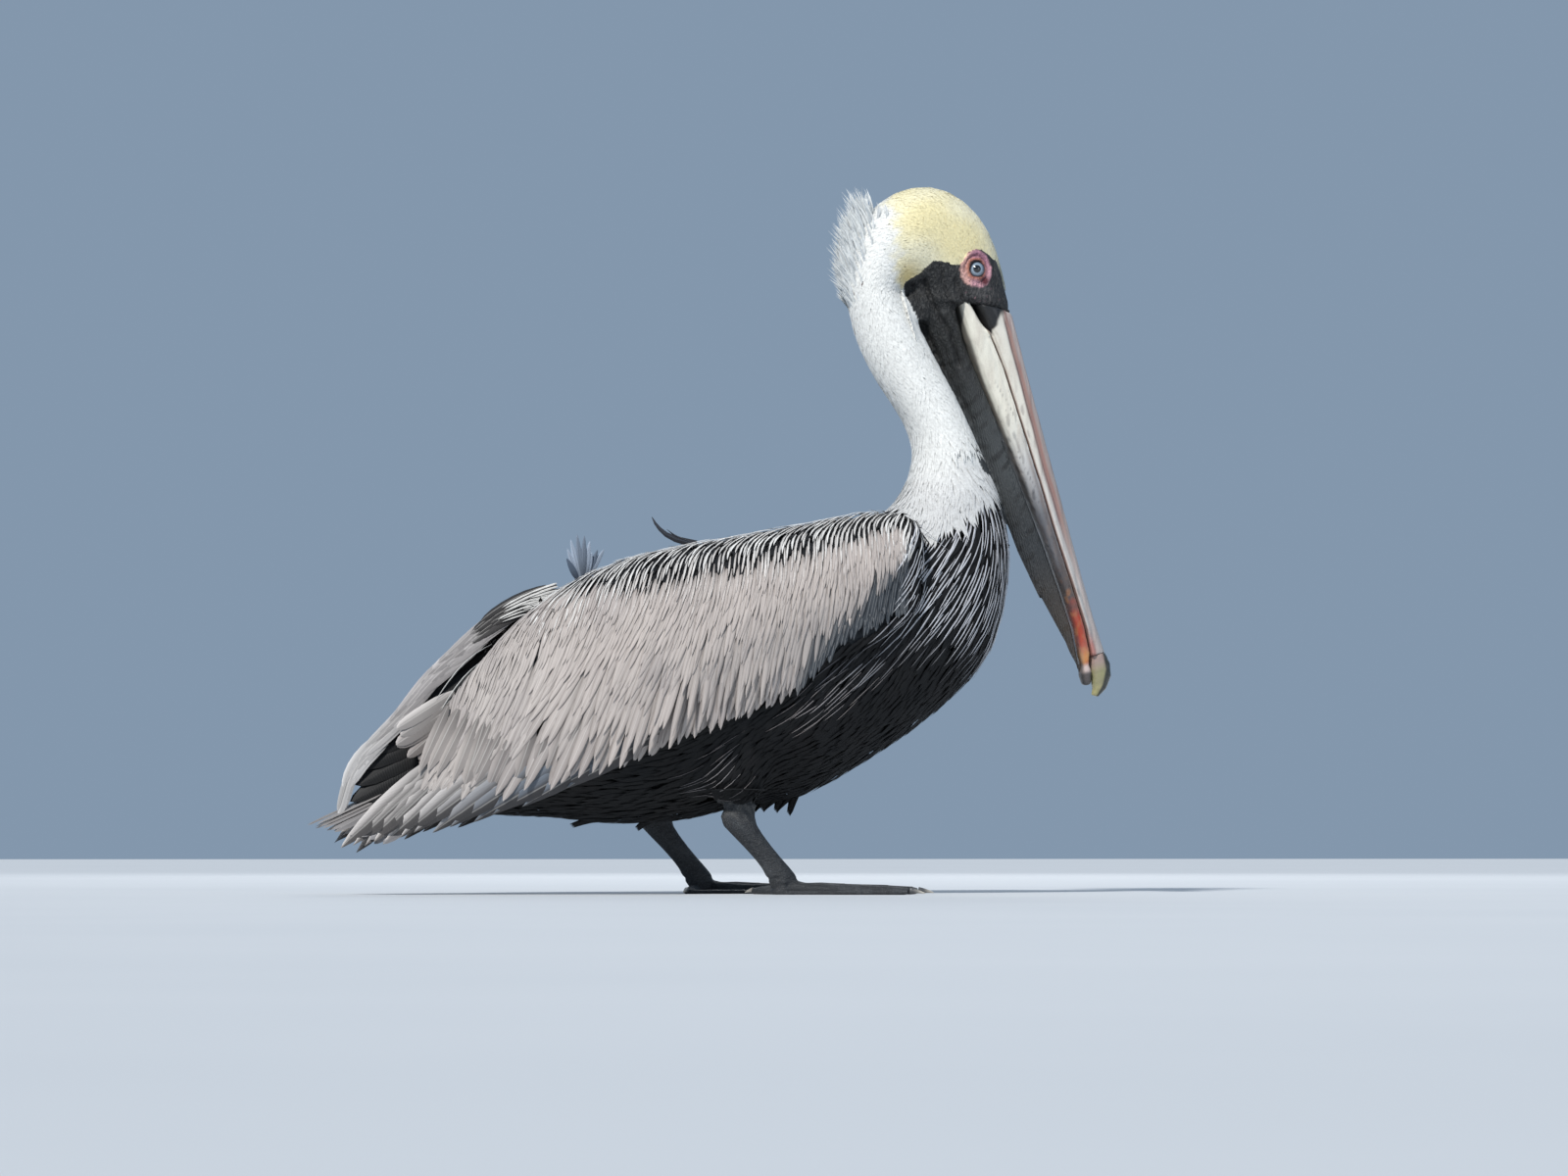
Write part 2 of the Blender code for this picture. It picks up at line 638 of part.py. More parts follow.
def make_legs(parts, trunk_clearance):
    for name, (side, ankle_x) in ANKLES.items():
        thigh = solid(f"thigh_{name}", leg_rings(THIGH, ankle_x, side, 2), "dark_feather", parts)
        boolean(thigh, trunk_clearance, "DIFFERENCE")
        solid(f"leg_{name}", leg_rings(SHANK, ankle_x, side, 1.5), "leg_skin", parts)
        make_foot(name, side, ankle_x, parts)


def centre_on_floor(parts):
    """Moves every piece so that the box stands on the floor with the origin at its middle."""
    corners = np.array([
        tuple(obj.matrix_world @ vertex.co) for obj in parts.objects for vertex in obj.data.vertices
    ])
    low, high = corners.min(0), corners.max(0)
    shift = Vector((-(low[0] + high[0]) / 2, -(low[1] + high[1]) / 2, -low[2]))
    for obj in parts.objects:
        obj.location += shift


def main():
    clear_scene()
    parts = collection("brown_pelican")
    cutters = collection("cutters", hidden=True)
    body = make_body(parts)
    neck_start = len(TRUNK) - 1
    head_start = neck_start + len(NECK_LOW) + len(NECK_HIGH)
    trunk_clearance = clearance("trunk_clearance", 0, neck_start + 2, 1.5, cutters)
    head_clearance = clearance("head_clearance", head_start, head_start + len(HEAD), 1.5, cutters)
    make_bill(parts)
    make_eyes(body["head"], parts, cutters)
    make_crest(parts, head_clearance)
    make_wings(parts)
    make_quills(parts)
    make_tail(parts)
    make_legs(parts, trunk_clearance)
    for obj in cutters.objects:
        obj.hide_render = True
        obj.display_type = "WIRE"
    bpy.context.view_layer.update()
    centre_on_floor(parts)
    bpy.context.view_layer.update()


main()
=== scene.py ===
"""The looks of the brown pelican: one skin, horn and eyes, and a coat of feathers.

Points are worked out in part.py's own frame, and new_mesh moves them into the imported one.
The bird faces +X, its left side is +Y, and the floor is at z = 0. Lengths are metres.
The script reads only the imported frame. Noise in space has seeds of its own, and all other
random numbers come from one seeded generator, so the order of the calls in main matters.
"""

import math

import bpy
import numpy as np
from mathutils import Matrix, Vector
from mathutils.bvhtree import BVHTree
from mathutils.kdtree import KDTree


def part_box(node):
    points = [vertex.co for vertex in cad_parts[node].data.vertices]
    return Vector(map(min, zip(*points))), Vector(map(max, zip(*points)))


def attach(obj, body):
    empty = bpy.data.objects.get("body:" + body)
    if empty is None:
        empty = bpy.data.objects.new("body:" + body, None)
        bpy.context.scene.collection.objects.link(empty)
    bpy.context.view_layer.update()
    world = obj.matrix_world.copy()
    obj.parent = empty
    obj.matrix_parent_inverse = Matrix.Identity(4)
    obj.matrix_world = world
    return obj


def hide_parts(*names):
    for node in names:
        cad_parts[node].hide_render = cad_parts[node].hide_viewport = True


# ---- landmarks, in part.py's frame -------------------------------------------------
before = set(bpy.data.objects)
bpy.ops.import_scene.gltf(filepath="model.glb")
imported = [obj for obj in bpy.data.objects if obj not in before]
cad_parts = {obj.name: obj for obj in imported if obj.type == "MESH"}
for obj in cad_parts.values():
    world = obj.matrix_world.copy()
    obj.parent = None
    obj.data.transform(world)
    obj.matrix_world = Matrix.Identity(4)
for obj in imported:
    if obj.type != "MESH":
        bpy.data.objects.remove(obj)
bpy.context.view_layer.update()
rng = np.random.default_rng(11)
RIGHT, LEFT = -1, 1
SIDES = {"right": RIGHT, "left": LEFT}
EYE_X, EYE_Z = 0.1846, 0.4423  # the eye's place in part.py's frame
EYE_Y, EYE_RADIUS = 0.0168, 0.0076
EYE_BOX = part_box("eye_right")
SHIFT = np.array(((EYE_BOX[0].x + EYE_BOX[1].x) / 2 - EYE_X, 0.0, 0.0))
THROAT = np.array((0.1385, 0.4232))  # the corner round which the head's sections swing
NECK_FOOT = 0.141  # where the neck's white ends at the back, along x
NECK_JOIN = 0.300  # the neck's feathers grow on the head's guide above this
THIGH_X = (0.006, -0.037)  # where the right and the left thigh are, along x
LEG_TOP = 0.0655  # how high the legs' bare skin reaches
BILL_ROOT = np.array((0.212, 0.412))
BILL_SLOPE = math.radians(15.17)
POUCH_END = (0.236, 0.2462, 0.262)  # where the pouch's end starts, stops, and is drawn out to
# The line where the bill's halves meet: along the bill, and out from its ridge line.
GAPE_S = (-0.012, 0.013, 0.039, 0.0795, 0.12, 0.16, 0.20, 0.23, 0.25)
GAPE_O = (-0.0274, -0.0194, -0.01565, -0.01335, -0.01125, -0.01015, -0.00815, -0.00675, -0.0070)
# The upper edge of the bare face, as x and z.
FACE_X = (0.1315, 0.1354, 0.1440, 0.1516, 0.1570, 0.1720, 0.1754, 0.1796, 0.1880, 0.1957,
          0.2010, 0.2060, 0.2180)
FACE_Z = (0.4300, 0.4330, 0.4385, 0.4457, 0.4478, 0.4437, 0.4490, 0.4545, 0.4565, 0.4530,
          0.4500, 0.4470, 0.4420)
# The line down the throat where the neck's feathers end, as z and x.
THROAT_Z = (0.318, 0.326, 0.350, 0.362, 0.375, 0.403, 0.418, 0.430)
THROAT_X = (0.1890, 0.1850, 0.1730, 0.1665, 0.1590, 0.1448, 0.1380, 0.1330)
THROAT_LOW = 0.350  # above this the throat's own skin is bare
# Grooves in the bare face and the top of the pouch: a path of (x, z), depth, half width.
GROOVES = (
    (((0.1475, 0.4330), (0.1529, 0.4192), (0.1600, 0.4060), (0.1669, 0.3965), (0.1733, 0.3751)),
     0.0024, 0.0017),
    (((0.1690, 0.4350), (0.1711, 0.4275), (0.1781, 0.4158)), 0.0015, 0.0013),
    (((0.1400, 0.4300), (0.1440, 0.4160), (0.1530, 0.3950), (0.1600, 0.3800)), 0.0012, 0.0013),
    (((0.1580, 0.4440), (0.1600, 0.4330), (0.1650, 0.4200), (0.1710, 0.4060)), 0.0011, 0.0012),
)
NECK_AXIS = np.array(((0.112, 0.470), (0.120, 0.440), (0.125, 0.398), (0.1375, 0.373),
                      (0.150, 0.352), (0.161, 0.331), (0.170, 0.309), (0.175, 0.288),
                      (0.176, 0.266), (0.172, 0.235)))
# The folded wing's edges in part.py: x, |y| and z of the upper edge, z of the lower one.
WING_EDGE_X = (-0.262, -0.245, -0.225, -0.205, -0.185, -0.160, -0.140, -0.118, -0.090,
               -0.062, -0.020, 0.022, 0.060, 0.100, 0.127, 0.137)
WING_TOP_Z = (0.064, 0.086, 0.109, 0.133, 0.159, 0.184, 0.2005, 0.214, 0.230,
              0.2415, 0.2505, 0.2575, 0.2645, 0.2725, 0.270, 0.260)
WING_TOP_Y = (0.0, 0.0, 0.0, 0.0, 0.0, 0.0, 0.0, 0.0, 0.0, 0.0, 0.0, 0.0, 0.0, 0.009, 0.030,
              0.043)
WING_LOW_Z = (0.048, 0.0472, 0.048, 0.0505, 0.055, 0.060, 0.066, 0.074, 0.084,
              0.095, 0.117, 0.141, 0.157, 0.174, 0.192, 0.208)
# The line that the coverts' tips end at, as x and z.
TIPS_X = (-0.215, -0.200, -0.170, -0.150, -0.115, -0.062, 0.0045, 0.048, 0.075, 0.100, 0.124,
          0.137)
TIPS_Z = (0.078, 0.076, 0.067, 0.070, 0.078, 0.097, 0.1239, 0.144, 0.172, 0.188, 0.200, 0.212)
# The rear outline of the part that small and middling feathers cover: z and x.
COVER_END_Z = (0.080, 0.100, 0.136, 0.158, 0.196, 0.222)
COVER_END_X = {RIGHT: (-0.192, -0.197, -0.191, -0.178, -0.153, -0.125),
               LEFT: (-0.207, -0.214, -0.208, -0.195, -0.162, -0.128)}
# The line below which the coverts lie in bluish shade, as x and z, and where the stripes
# end at the rear and the coverts start, for the right side and the left one.
SHADE_X = (0.0, 0.040, 0.064, 0.081, 0.093, 0.112, 0.122, 0.132, 0.142)
SHADE_Z = (0.120, 0.138, 0.172, 0.1855, 0.199, 0.218, 0.236, 0.258, 0.280)
STRIPE_END = (-0.118, -0.152)
COVER_START = ((-0.135, -0.112, -0.060, 0.05, 0.12), (-0.170, -0.150, -0.080, 0.05, 0.12))
BODY_NODES = ("trunk", "neck_lower", "wing_arm_right", "wing_arm_left", "thigh_right",
              "thigh_left")
WING_HANDS = ("wing_hand_right", "wing_hand_left")
HEAD_NODES = ("neck_lower", "neck_upper", "head", "pouch")
LEG_NODES = ("leg", "foot", "thigh")
FLESH = ("trunk", "neck_lower", "neck_upper", "head", "crest", "pouch", "wing_arm_right",
         "wing_arm_left", "thigh_right", "thigh_left", "leg_right", "leg_left", "foot_right",
         "foot_left")
# A block that fills the gap between head, neck and pouch, and the faces of a block.
THROAT_PLUG = [(x, y, z) for y in (-0.0125, 0.0125)
               for x, z in ((0.136, 0.409), (0.150, 0.404), (0.152, 0.424), (0.139, 0.428))]
BLOCK_FACES = np.array(((0, 1, 2), (0, 2, 3), (4, 6, 5), (4, 7, 6), (0, 5, 1), (0, 4, 5), (1, 6, 2),
                        (1, 5, 6), (2, 7, 3), (2, 6, 7), (3, 4, 0), (3, 7, 4)))


# ---- small tools -------------------------------------------------------------------
def shade(red, green, blue):
    """A screen colour from 0 to 255 as the linear colour that a shader takes."""
    c = np.array((red, green, blue)) / 255
    return np.where(c <= 0.04045, c / 12.92, ((c + 0.055) / 1.055) ** 2.4)


def unit(v):
    return v / np.maximum(np.linalg.norm(v, axis=-1, keepdims=True), 1e-12)


def ramp(x, low, high):
    """0 below low, 1 above high, and a smooth step between them."""
    t = np.clip((x - low) / (high - low), 0, 1)
    return t * t * (3 - 2 * t)


def mix(a, b, t):
    t = np.asarray(t)[..., None]
    return a * (1 - t) + b * t


def bump(x, centre, width):
    return np.exp(-(((x - centre) / width) ** 2))


def waves(p, scale, seed):
    """Smooth noise from -1 to 1 at points p: a sum of a few seeded plane waves."""
    own = np.random.default_rng(seed)
    total = np.zeros(len(p))
    for _ in range(7):
        way = unit(own.normal(size=3))
        pitch = scale * own.uniform(0.6, 1.5)
        total += np.sin(p @ way * (2 * math.pi / pitch) + own.uniform(0, 2 * math.pi))
    return total / 3.2


def spread(rows, low, high):
    return rng.uniform(low, high, rows)


def even(size):
    """A measure that is the same everywhere."""
    return lambda p: np.full(len(p), size)


def link(obj, replaced, slot):
    """Puts a finished piece in the scene, riding on the root, and hides the parts that it replaces.
    slot is not used.
    """
    bpy.context.scene.collection.objects.link(obj)
    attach(obj, "root")
    if replaced:
        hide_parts(*replaced)


def new_mesh(name, points, faces):
    """A mesh from points in part.py's frame and faces that all have the same number of
    corners."""
    mesh = bpy.data.meshes.new(name)
    faces = np.asarray(faces, np.int32)
    count, corners = faces.shape
    mesh.vertices.add(len(points))
    mesh.vertices.foreach_set("co", (points + SHIFT).astype(np.float32).ravel())
    mesh.loops.add(count * corners)
    mesh.loops.foreach_set("vertex_index", faces.ravel())
    mesh.polygons.add(count)
    mesh.polygons.foreach_set("loop_start", np.arange(0, count * corners, corners, dtype=np.int32))
    mesh.update(calc_edges=True)
    mesh.shade_smooth()
    return mesh


def read(items, key, width, kind=np.float32):
    """One property of all of a mesh's vertices, edges, corners or triangles."""
    flat = np.empty(len(items) * width, kind)
    items.foreach_get(key, flat)
    return flat.reshape(-1, width)


def points_of(mesh):
    return read(mesh.vertices, "co", 3).astype(float) - SHIFT


def put_points(mesh, points):
    mesh.vertices.foreach_set("co", (points + SHIFT).astype(np.float32).ravel())
    mesh.update()


def normals_of(mesh):
    return read(mesh.vertex_normals, "vector", 3).astype(float)


def triangles_of(mesh):
    mesh.calc_loop_triangles()
    return read(mesh.loop_triangles, "vertices", 3, np.int32)


def set_colours(mesh, name, colours):
    data = np.ones((len(mesh.vertices), 4), np.float32)
    data[:, :3] = colours
    mesh.color_attributes.new(name, "FLOAT_COLOR", "POINT")
    mesh.color_attributes[name].data.foreach_set("color", data.ravel())


def set_numbers(mesh, name, values):
    mesh.attributes.new(name, "FLOAT", "POINT")
    mesh.attributes[name].data.foreach_set("value", values.astype(np.float32))


def put_map(mesh, spots):
    layer = mesh.uv_layers.new(name="OFBake")
    corners = read(mesh.loops, "vertex_index", 1, np.int32)[:, 0]
    layer.data.foreach_set("uv", spots[corners].astype(np.float32).ravel())


def applied(obj):
    """The object's mesh with its modifiers applied; the object itself goes away."""
    graph = bpy.context.evaluated_depsgraph_get()
    mesh = bpy.data.meshes.new_from_object(obj.evaluated_get(graph))
    bpy.data.objects.remove(obj)
    return mesh


def remeshed(nodes, voxel, grow, rounds, plug=None):
    """The named CAD nodes as one smooth closed mesh. Growing them first closes the seams
    between them, and only the outermost shell is kept. A plug is a block to add."""
    points, faces, start = [], [], 0
    for name in nodes:
        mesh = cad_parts[name].data
        v = points_of(mesh) + normals_of(mesh) * grow
        points.append(v)
        faces.append(triangles_of(mesh) + start)
        start += len(v)
    if plug:
        points.append(np.array(plug))
        faces.append(BLOCK_FACES + start)
    mesh = new_mesh("work", np.vstack(points), np.vstack(faces))
    obj = bpy.data.objects.new("work", mesh)
    bpy.context.scene.collection.objects.link(obj)
    weld = obj.modifiers.new("weld", "WELD")
    weld.merge_threshold = 0.00001
    grid = obj.modifiers.new("grid", "REMESH")
    grid.mode = "VOXEL"
    grid.voxel_size = voxel
    soft = obj.modifiers.new("soft", "SMOOTH")
    soft.factor = 0.5
    soft.iterations = rounds
    return outer_shell(applied(obj))


def outer_shell(mesh):
    """Drops the closed shells that lie inside the largest one."""
    a, b = read(mesh.edges, "vertices", 2, np.int32).T
    group = np.arange(len(mesh.vertices))
    while True:
        low = group.copy()
        np.minimum.at(low, a, group[b])
        np.minimum.at(low, b, group[a])
        low = low[low]
        if (low == group).all():
            break
        group = low
    names, sizes = np.unique(group, return_counts=True)
    keep = group == names[np.argmax(sizes)]
    quads = read(mesh.loops, "vertex_index", 1, np.int32).reshape(-1, 4)
    quads = quads[keep[quads[:, 0]]]
    order = np.cumsum(keep) - 1
    return new_mesh("shell", points_of(mesh)[keep], order[quads])


def softened(mesh, share, rounds):
    """Smooths a mesh where share(points) is above 0."""
    p = points_of(mesh)
    a, b = read(mesh.edges, "vertices", 2, np.int32).T
    ends, others = np.concatenate((a, b)), np.concatenate((b, a))
    links = np.bincount(ends, minlength=len(p))[:, None]
    part = share(p)[:, None] * 0.6
    for _ in range(rounds):
        total = np.stack([np.bincount(ends, p[others, i], len(p)) for i in range(3)], 1)
        p += (total / links - p) * part
    put_points(mesh, p)
    return mesh


# ---- where things are --------------------------------------------------------------
def bill_frame(p):
    """How far along the bill and how far out from its ridge each point lies."""
    down, ahead = math.cos(BILL_SLOPE), math.sin(BILL_SLOPE)
    x, z = p[:, 0] - BILL_ROOT[0], p[:, 2] - BILL_ROOT[1]
    return x * ahead - z * down, x * down + z * ahead


def throat_gap(p):
    """How far in front of the throat's line each point lies, from its lower end up."""
    return np.where(p[:, 2] > THROAT_Z[0], p[:, 0] - np.interp(p[:, 2], THROAT_Z, THROAT_X), 1.0)


def throat_bare(p):
    """True on the bare skin in front of the neck, behind the pouch's base."""
    return (throat_gap(p) > 0.0005) & (p[:, 2] > THROAT_LOW) & (p[:, 2] < THROAT_Z[-1])


def throat_seam(p):
    """1 along the seam between the head's underside and the top of the pouch."""
    s, o = bill_frame(p)
    below = s - (0.0014 - 0.44 * (0.0033 - o))
    return bump(below, 0.0, 0.0060) * ramp(-o, 0.022, 0.032) * ramp(p[:, 0], 0.130, 0.140)


def face_edge(p):
    """How far below the bare face's upper edge each point lies; feathers are negative."""
    x, y, z = p.T
    edge = np.interp(x, FACE_X, FACE_Z) + 0.0006 * waves(p, 0.006, 5)
    depth = np.minimum(edge - z, throat_gap(p))
    strip = np.interp(z, (0.418, 0.440, 0.452), (0.0080, 0.0098, 0.0115)) - np.abs(y)
    forehead = (x > 0.190) & (z > 0.416)
    return np.where(forehead, np.minimum(depth, -strip), depth)


def line_gap(p, path):
    """How far each point lies from a path of (x, z), seen from the side."""
    flat = p[:, (0, 2)]
    least = np.full(len(p), 1.0)
    for start, end in zip(np.array(path), np.array(path)[1:]):
        step = end - start
        share = np.clip(((flat - start) @ step) / (step @ step), 0, 1)
        least = np.minimum(least, np.linalg.norm(flat - start - share[:, None] * step, axis=1))
    return least


def eye_reach(p):
    """How far each point lies from the middle of the eye, seen from the side; less
    above it, where the bare ring is deeper."""
    x, _, z = p.T
    up = z - EYE_Z
    return np.hypot(x - EYE_X, up / (1.06 + 6 * np.clip(up, 0, 0.012)))


def pouch_share(p):
    """1 on the pouch below the face, 0 elsewhere."""
    s, o = bill_frame(p)
    edge = 0.0008 - 0.4375 * -o
    neck = o + 0.0690 - 0.17 * np.clip(s + 0.03, 0, 0.3)
    return ramp(s - edge, -0.001, 0.001) * ramp(neck, -0.006, -0.003)


def neck_share(p):
    """1 on the head and neck, 0 on the body, with a V at the foot of the neck."""
    x, _, z = p.T
    ahead, behind = np.maximum(x - NECK_FOOT, 0), np.maximum(NECK_FOOT - x, 0)
    edge = 0.250 + 0.66 * ahead + np.minimum(3.0 * behind, 0.040)
    return ramp(z - edge + 0.003 * waves(p, 0.012, 8), -0.004, 0.004)


def thigh_area(p):
    """1 round the thighs, where the body's feathers run smoothly over them."""
    x, y, z = p.T
    middle = np.where(y < 0, *THIGH_X)
    near = 1 - ramp(np.abs(x - middle), 0.045, 0.062)
    return near * ramp(np.abs(y), 0.018, 0.030) * ramp(z, 0.056, 0.064) * (1 - ramp(z, 0.105, 0.122))


def leg_column(p):
    """True on a leg and on the lowest, bare part of its thigh."""
    x, y, z = p.T
    middle = np.where(y < 0, *THIGH_X) + 0.004
    return (np.abs(x - middle) < 0.016) & (np.abs(np.abs(y) - 0.048) < 0.0125) & (z < LEG_TOP)


def wing_zone(p):
    """How far inside the folded wing's outline each point lies, in metres."""
    x, y, z = p.T
    low = z - np.interp(x, WING_EDGE_X, WING_LOW_Z)
    top = np.abs(y) - np.interp(x, WING_EDGE_X, WING_TOP_Y)
    return np.minimum(np.minimum(low, top), 0.138 - x)


def wing_drop(p):
    """How far down the wing each point lies from its upper edge, or from its front one."""
    x, y, z = p.T
    drop = np.maximum(np.interp(x, WING_EDGE_X, WING_TOP_Z) - z, 0) + 0.05 * np.abs(y)
    return drop * (1 - ramp(x, 0.118, 0.132))


def loose(p):
    """1 low on the wing's rear, where the coverts are broad and lie further apart."""
    return ramp(-p[:, 0], 0.05, 0.15) * ramp(wing_drop(p), 0.045, 0.095)


def skin_parts(p):
    """Which part of the skin each point belongs to: 0 feathered, 1 face, 2 pouch, 3 leg."""
    s, _ = bill_frame(p)
    kind = np.zeros(len(p), int)
    high = p[:, 2] > 0.412
    kind[high & (face_edge(p) > -0.0010)] = 1
    off_body = (p[:, 2] > 0.20) & (p[:, 0] > 0.1354) | (p[:, 0] > 0.2225)
    kind[(pouch_share(p) > 0.5) & off_body & (throat_gap(p) > 0)] = 2
    kind[(kind == 0) & throat_bare(p)] = 2
    kind[(kind == 2) & (s < -0.012) & (face_edge(p) > -0.0010)] = 1
    kind[(p[:, 2] < 0.047) | leg_column(p)] = 3
    return kind


# ---- the lie of the feathers -------------------------------------------------------
def neck_way(p):
    """The direction down the neck at each point."""
    middle = (NECK_AXIS[1:] + NECK_AXIS[:-1]) / 2
    steps = unit(NECK_AXIS[1:] - NECK_AXIS[:-1])
    off = np.linalg.norm(p[:, None, (0, 2)] - middle[None], axis=2)
    weight = np.exp(-((off / 0.02) ** 2)) + 1e-9
    way = (weight[..., None] * steps[None]).sum(1)
    return unit(np.stack((way[:, 0], np.zeros(len(p)), way[:, 1]), 1))


def head_way(p):
    """Back over the crown from the bill, and down the nape."""
    x, z = p[:, 0] - THROAT[0], p[:, 2] - THROAT[1]
    return unit(np.stack((-z, np.zeros(len(p)), x), 1))


def neck_lie(p):
    share = ramp(p[:, 2], 0.400, 0.430)[:, None]
    way = neck_way(p) * (1 - share) + head_way(p) * share
    flare = np.sign(p[:, 1]) * 0.12 * share[:, 0]
    way[:, 1] += flare
    return unit(way)


def body_way(p):
    """Down the breast, back along the belly, slanting on the flanks, down the thighs."""
    x, y, z = p.T
    ahead = np.maximum(x - 0.10, 0)
    up = 0.27 - z
    way = np.stack((-up, np.zeros(len(p)), -ahead * 1.15), 1)
    side = ramp(np.abs(y), 0.02, 0.055) * ramp(z, 0.085, 0.14)
    way[:, 0] -= 0.060 * side * ramp(x, 0.10, 0.19)
    way[:, 2] -= 0.85 * side * np.maximum(up, 0.02) * ramp(x, -0.05, 0.06)
    thigh = bump(x, np.where(y < 0, *THIGH_X), 0.030) * bump(z, 0.088, 0.022)
    thigh *= ramp(np.abs(y), 0.030, 0.048)
    return unit(unit(way) + thigh[:, None] * np.array((-0.1, 0.0, -1.3)))


def cover_way(p):
    """The lie over the wing: back along its upper edge, then bending over and down."""
    x, y, _ = p.T
    lean = np.interp(x, (-0.24, -0.16, -0.10, 0.0, 0.08, 0.13), (34, 29, 24, 12, 6, 3))
    edge = 1 - ramp(wing_drop(p), 0.001, 0.024)
    lean = np.radians(lean + np.interp(x, (-0.1, 0.1, 0.118, 0.134), (24, 48, 38, 16)) * edge)
    out = np.sign(y) * np.cos(lean) * (1 - ramp(wing_drop(p), 0.02, 0.06))
    return unit(np.stack((-np.sin(lean), out * 0.9, -np.cos(lean)), 1))


# ---- markings and painted shade, shared by the skin and the coat -------------------
WHITE = shade(236, 236, 232)
CREAM = shade(222, 205, 182)
YELLOW = shade(238, 226, 178)
PALE_YELLOW = shade(245, 239, 210)
SILVER = shade(177, 167, 161)
DARK_SILVER = shade(146, 138, 136)
PALE_SILVER = shade(177, 170, 165)
BLACK = shade(8, 10, 13)
BROWN_BLACK = shade(14, 13, 14)
DARK_VANE = shade(62, 58, 57)
FACE_SKIN = shade(31, 32, 33)
PINK = shade(214, 160, 170)
POUCH_SKIN = shade(36, 36, 35)
LEG_SKIN = shade(40, 43, 47)


def neck_colour(p):
    """White, with a warm tinge at the foot of the neck, greyer low down by painted shade, and yellow
    on the head.
    """
    x, _, z = p.T
    buff = ramp(0.315 - z, 0, 0.05) * ramp(0.175 - x, 0, 0.03) * 0.30
    colour = mix(WHITE, CREAM, buff)
    # Painted shade: the white greys towards the foot of the neck.
    colour = mix(colour, shade(204, 204, 203), 0.95 * ramp(0.33 - z, 0, 0.05))
    front = x - (0.1275 + 0.14 * np.clip(0.47 - z, 0, 0.03)) + 0.004 * waves(p, 0.012, 21)
    yellow = ramp(front, -0.007, 0.006) * ramp(z, 0.426, 0.432)
    tone = mix(YELLOW, PALE_YELLOW, ramp(waves(p, 0.045, 22), -1.4, 1.4))
    corner = bump(x, 0.137, 0.010) * bump(z, 0.436, 0.010)
    tone = mix(tone, shade(226, 202, 132), corner * 0.8)
    # Painted shade: the feathered strip down the forehead to the bill turns grey-green.
    tone = mix(tone, shade(128, 134, 118), ramp(x, 0.194, 0.202) * ramp(0.452 - z, 0, 0.012) * 0.8)
    return mix(colour, tone, yellow)


def body_colour(p):
    return mix(BLACK, BROWN_BLACK, 0.5 + 0.5 * waves(p, 0.05, 31))


def silver(p):
    """The coverts' colour: warm grey, bluish in the shade under the wing's front edge."""
    x, _, z = p.T
    colour = mix(SILVER, PALE_SILVER, 0.5 * ramp(-x, 0.08, 0.18))
    colour = mix(colour, DARK_SILVER, 0.45 * ramp(waves(p, 0.04, 71), -0.2, 1.2))
    low = ramp(np.interp(x, SHADE_X, SHADE_Z) - z, -0.002, 0.005) * ramp(x, 0.025, 0.050)
    return mix(colour, shade(50, 59, 67), low * 0.95)


def face_colour(p):
    x, y, z = p.T
    colour = mix(FACE_SKIN, shade(66, 66, 66), ramp(waves(p, 0.012, 81), 0.0, 1.2) * 0.6)
    groove = np.zeros(len(p))
    for path, deep, wide in GROOVES:
        groove = np.maximum(groove, bump(line_gap(p, path), 0, wide * 1.2) * deep / 0.0024)
    # The grooves are darkened: painted shade in the face's creases.
    colour = mix(colour, shade(14, 14, 15), groove * 0.8)
    pale_share = bump(x, EYE_X + 0.004, 0.012) * bump(z, EYE_Z - 0.0185, 0.008)
    colour = mix(colour, shade(92, 88, 88), pale_share * ramp(waves(p, 0.004, 86), -0.6, 0.8) * 0.7)
    colour = mix(colour, PINK, pale_share * ramp(waves(p, 0.003, 87), 1.1, 1.6) * 0.6)
    far = eye_reach(p) + 0.0005 * waves(p, 0.006, 82) + 0.0004 * waves(p, 0.014, 89)
    ring = 1 - ramp(far, 0.0112, 0.0128)
    skin = mix(PINK, shade(196, 136, 158), ramp(z - EYE_Z, 0, 0.008) * 0.7)
    skin = mix(skin, shade(226, 180, 160), ramp(EYE_X - x, 0.002, 0.007) * 0.7)
    colour = mix(colour, skin, ring * ramp(np.abs(y), 0.008, 0.012))
    furrow = bump(far, 0.0090, 0.0007) * ring * ramp(z - EYE_Z, -0.007, 0.003)
    colour = mix(colour, shade(112, 58, 74), furrow * 0.8)
    inner = 1 - ramp(far, 0.0070, 0.0084)
    colour = mix(colour, shade(186, 112, 84), inner * 0.85)
    rim = 1 - ramp(far, 0.0056, 0.0066)
    colour = mix(colour, shade(48, 30, 30), rim)
    corner = bump(x, EYE_X + 0.0065, 0.0036) * bump(z, EYE_Z - 0.0080, 0.0036)
    corner = np.clip(corner * 1.3, 0, 1) * (far > 0.0062) * (far < 0.0118)
    return mix(colour, shade(92, 36, 44), corner)


def pouch_colour(p):
    s, _ = bill_frame(p)
    colour = mix(FACE_SKIN, POUCH_SKIN, ramp(s, -0.02, 0.01))
    colour = mix(colour, shade(74, 78, 80), bump(s, 0.10, 0.055) * 0.8)
    colour = mix(colour, shade(54, 58, 62), ramp(s, 0.12, 0.17) * 0.8)
    lane = ramp(waves(p * (1, 1, 0.3) + s[:, None] * 0.5, 0.010, 83), 0.1, 1.1)
    colour = mix(colour, shade(26, 26, 26), lane * 0.6)
    # The deepest groove is darkened: painted shade in the crease at the pouch's top.
    groove = bump(line_gap(p, GROOVES[0][0]), 0, 0.0018)
    colour = mix(colour, shade(14, 14, 15), groove * 0.7)
    return mix(colour, shade(84, 72, 62), ramp(s, 0.16, 0.23) * 0.5)


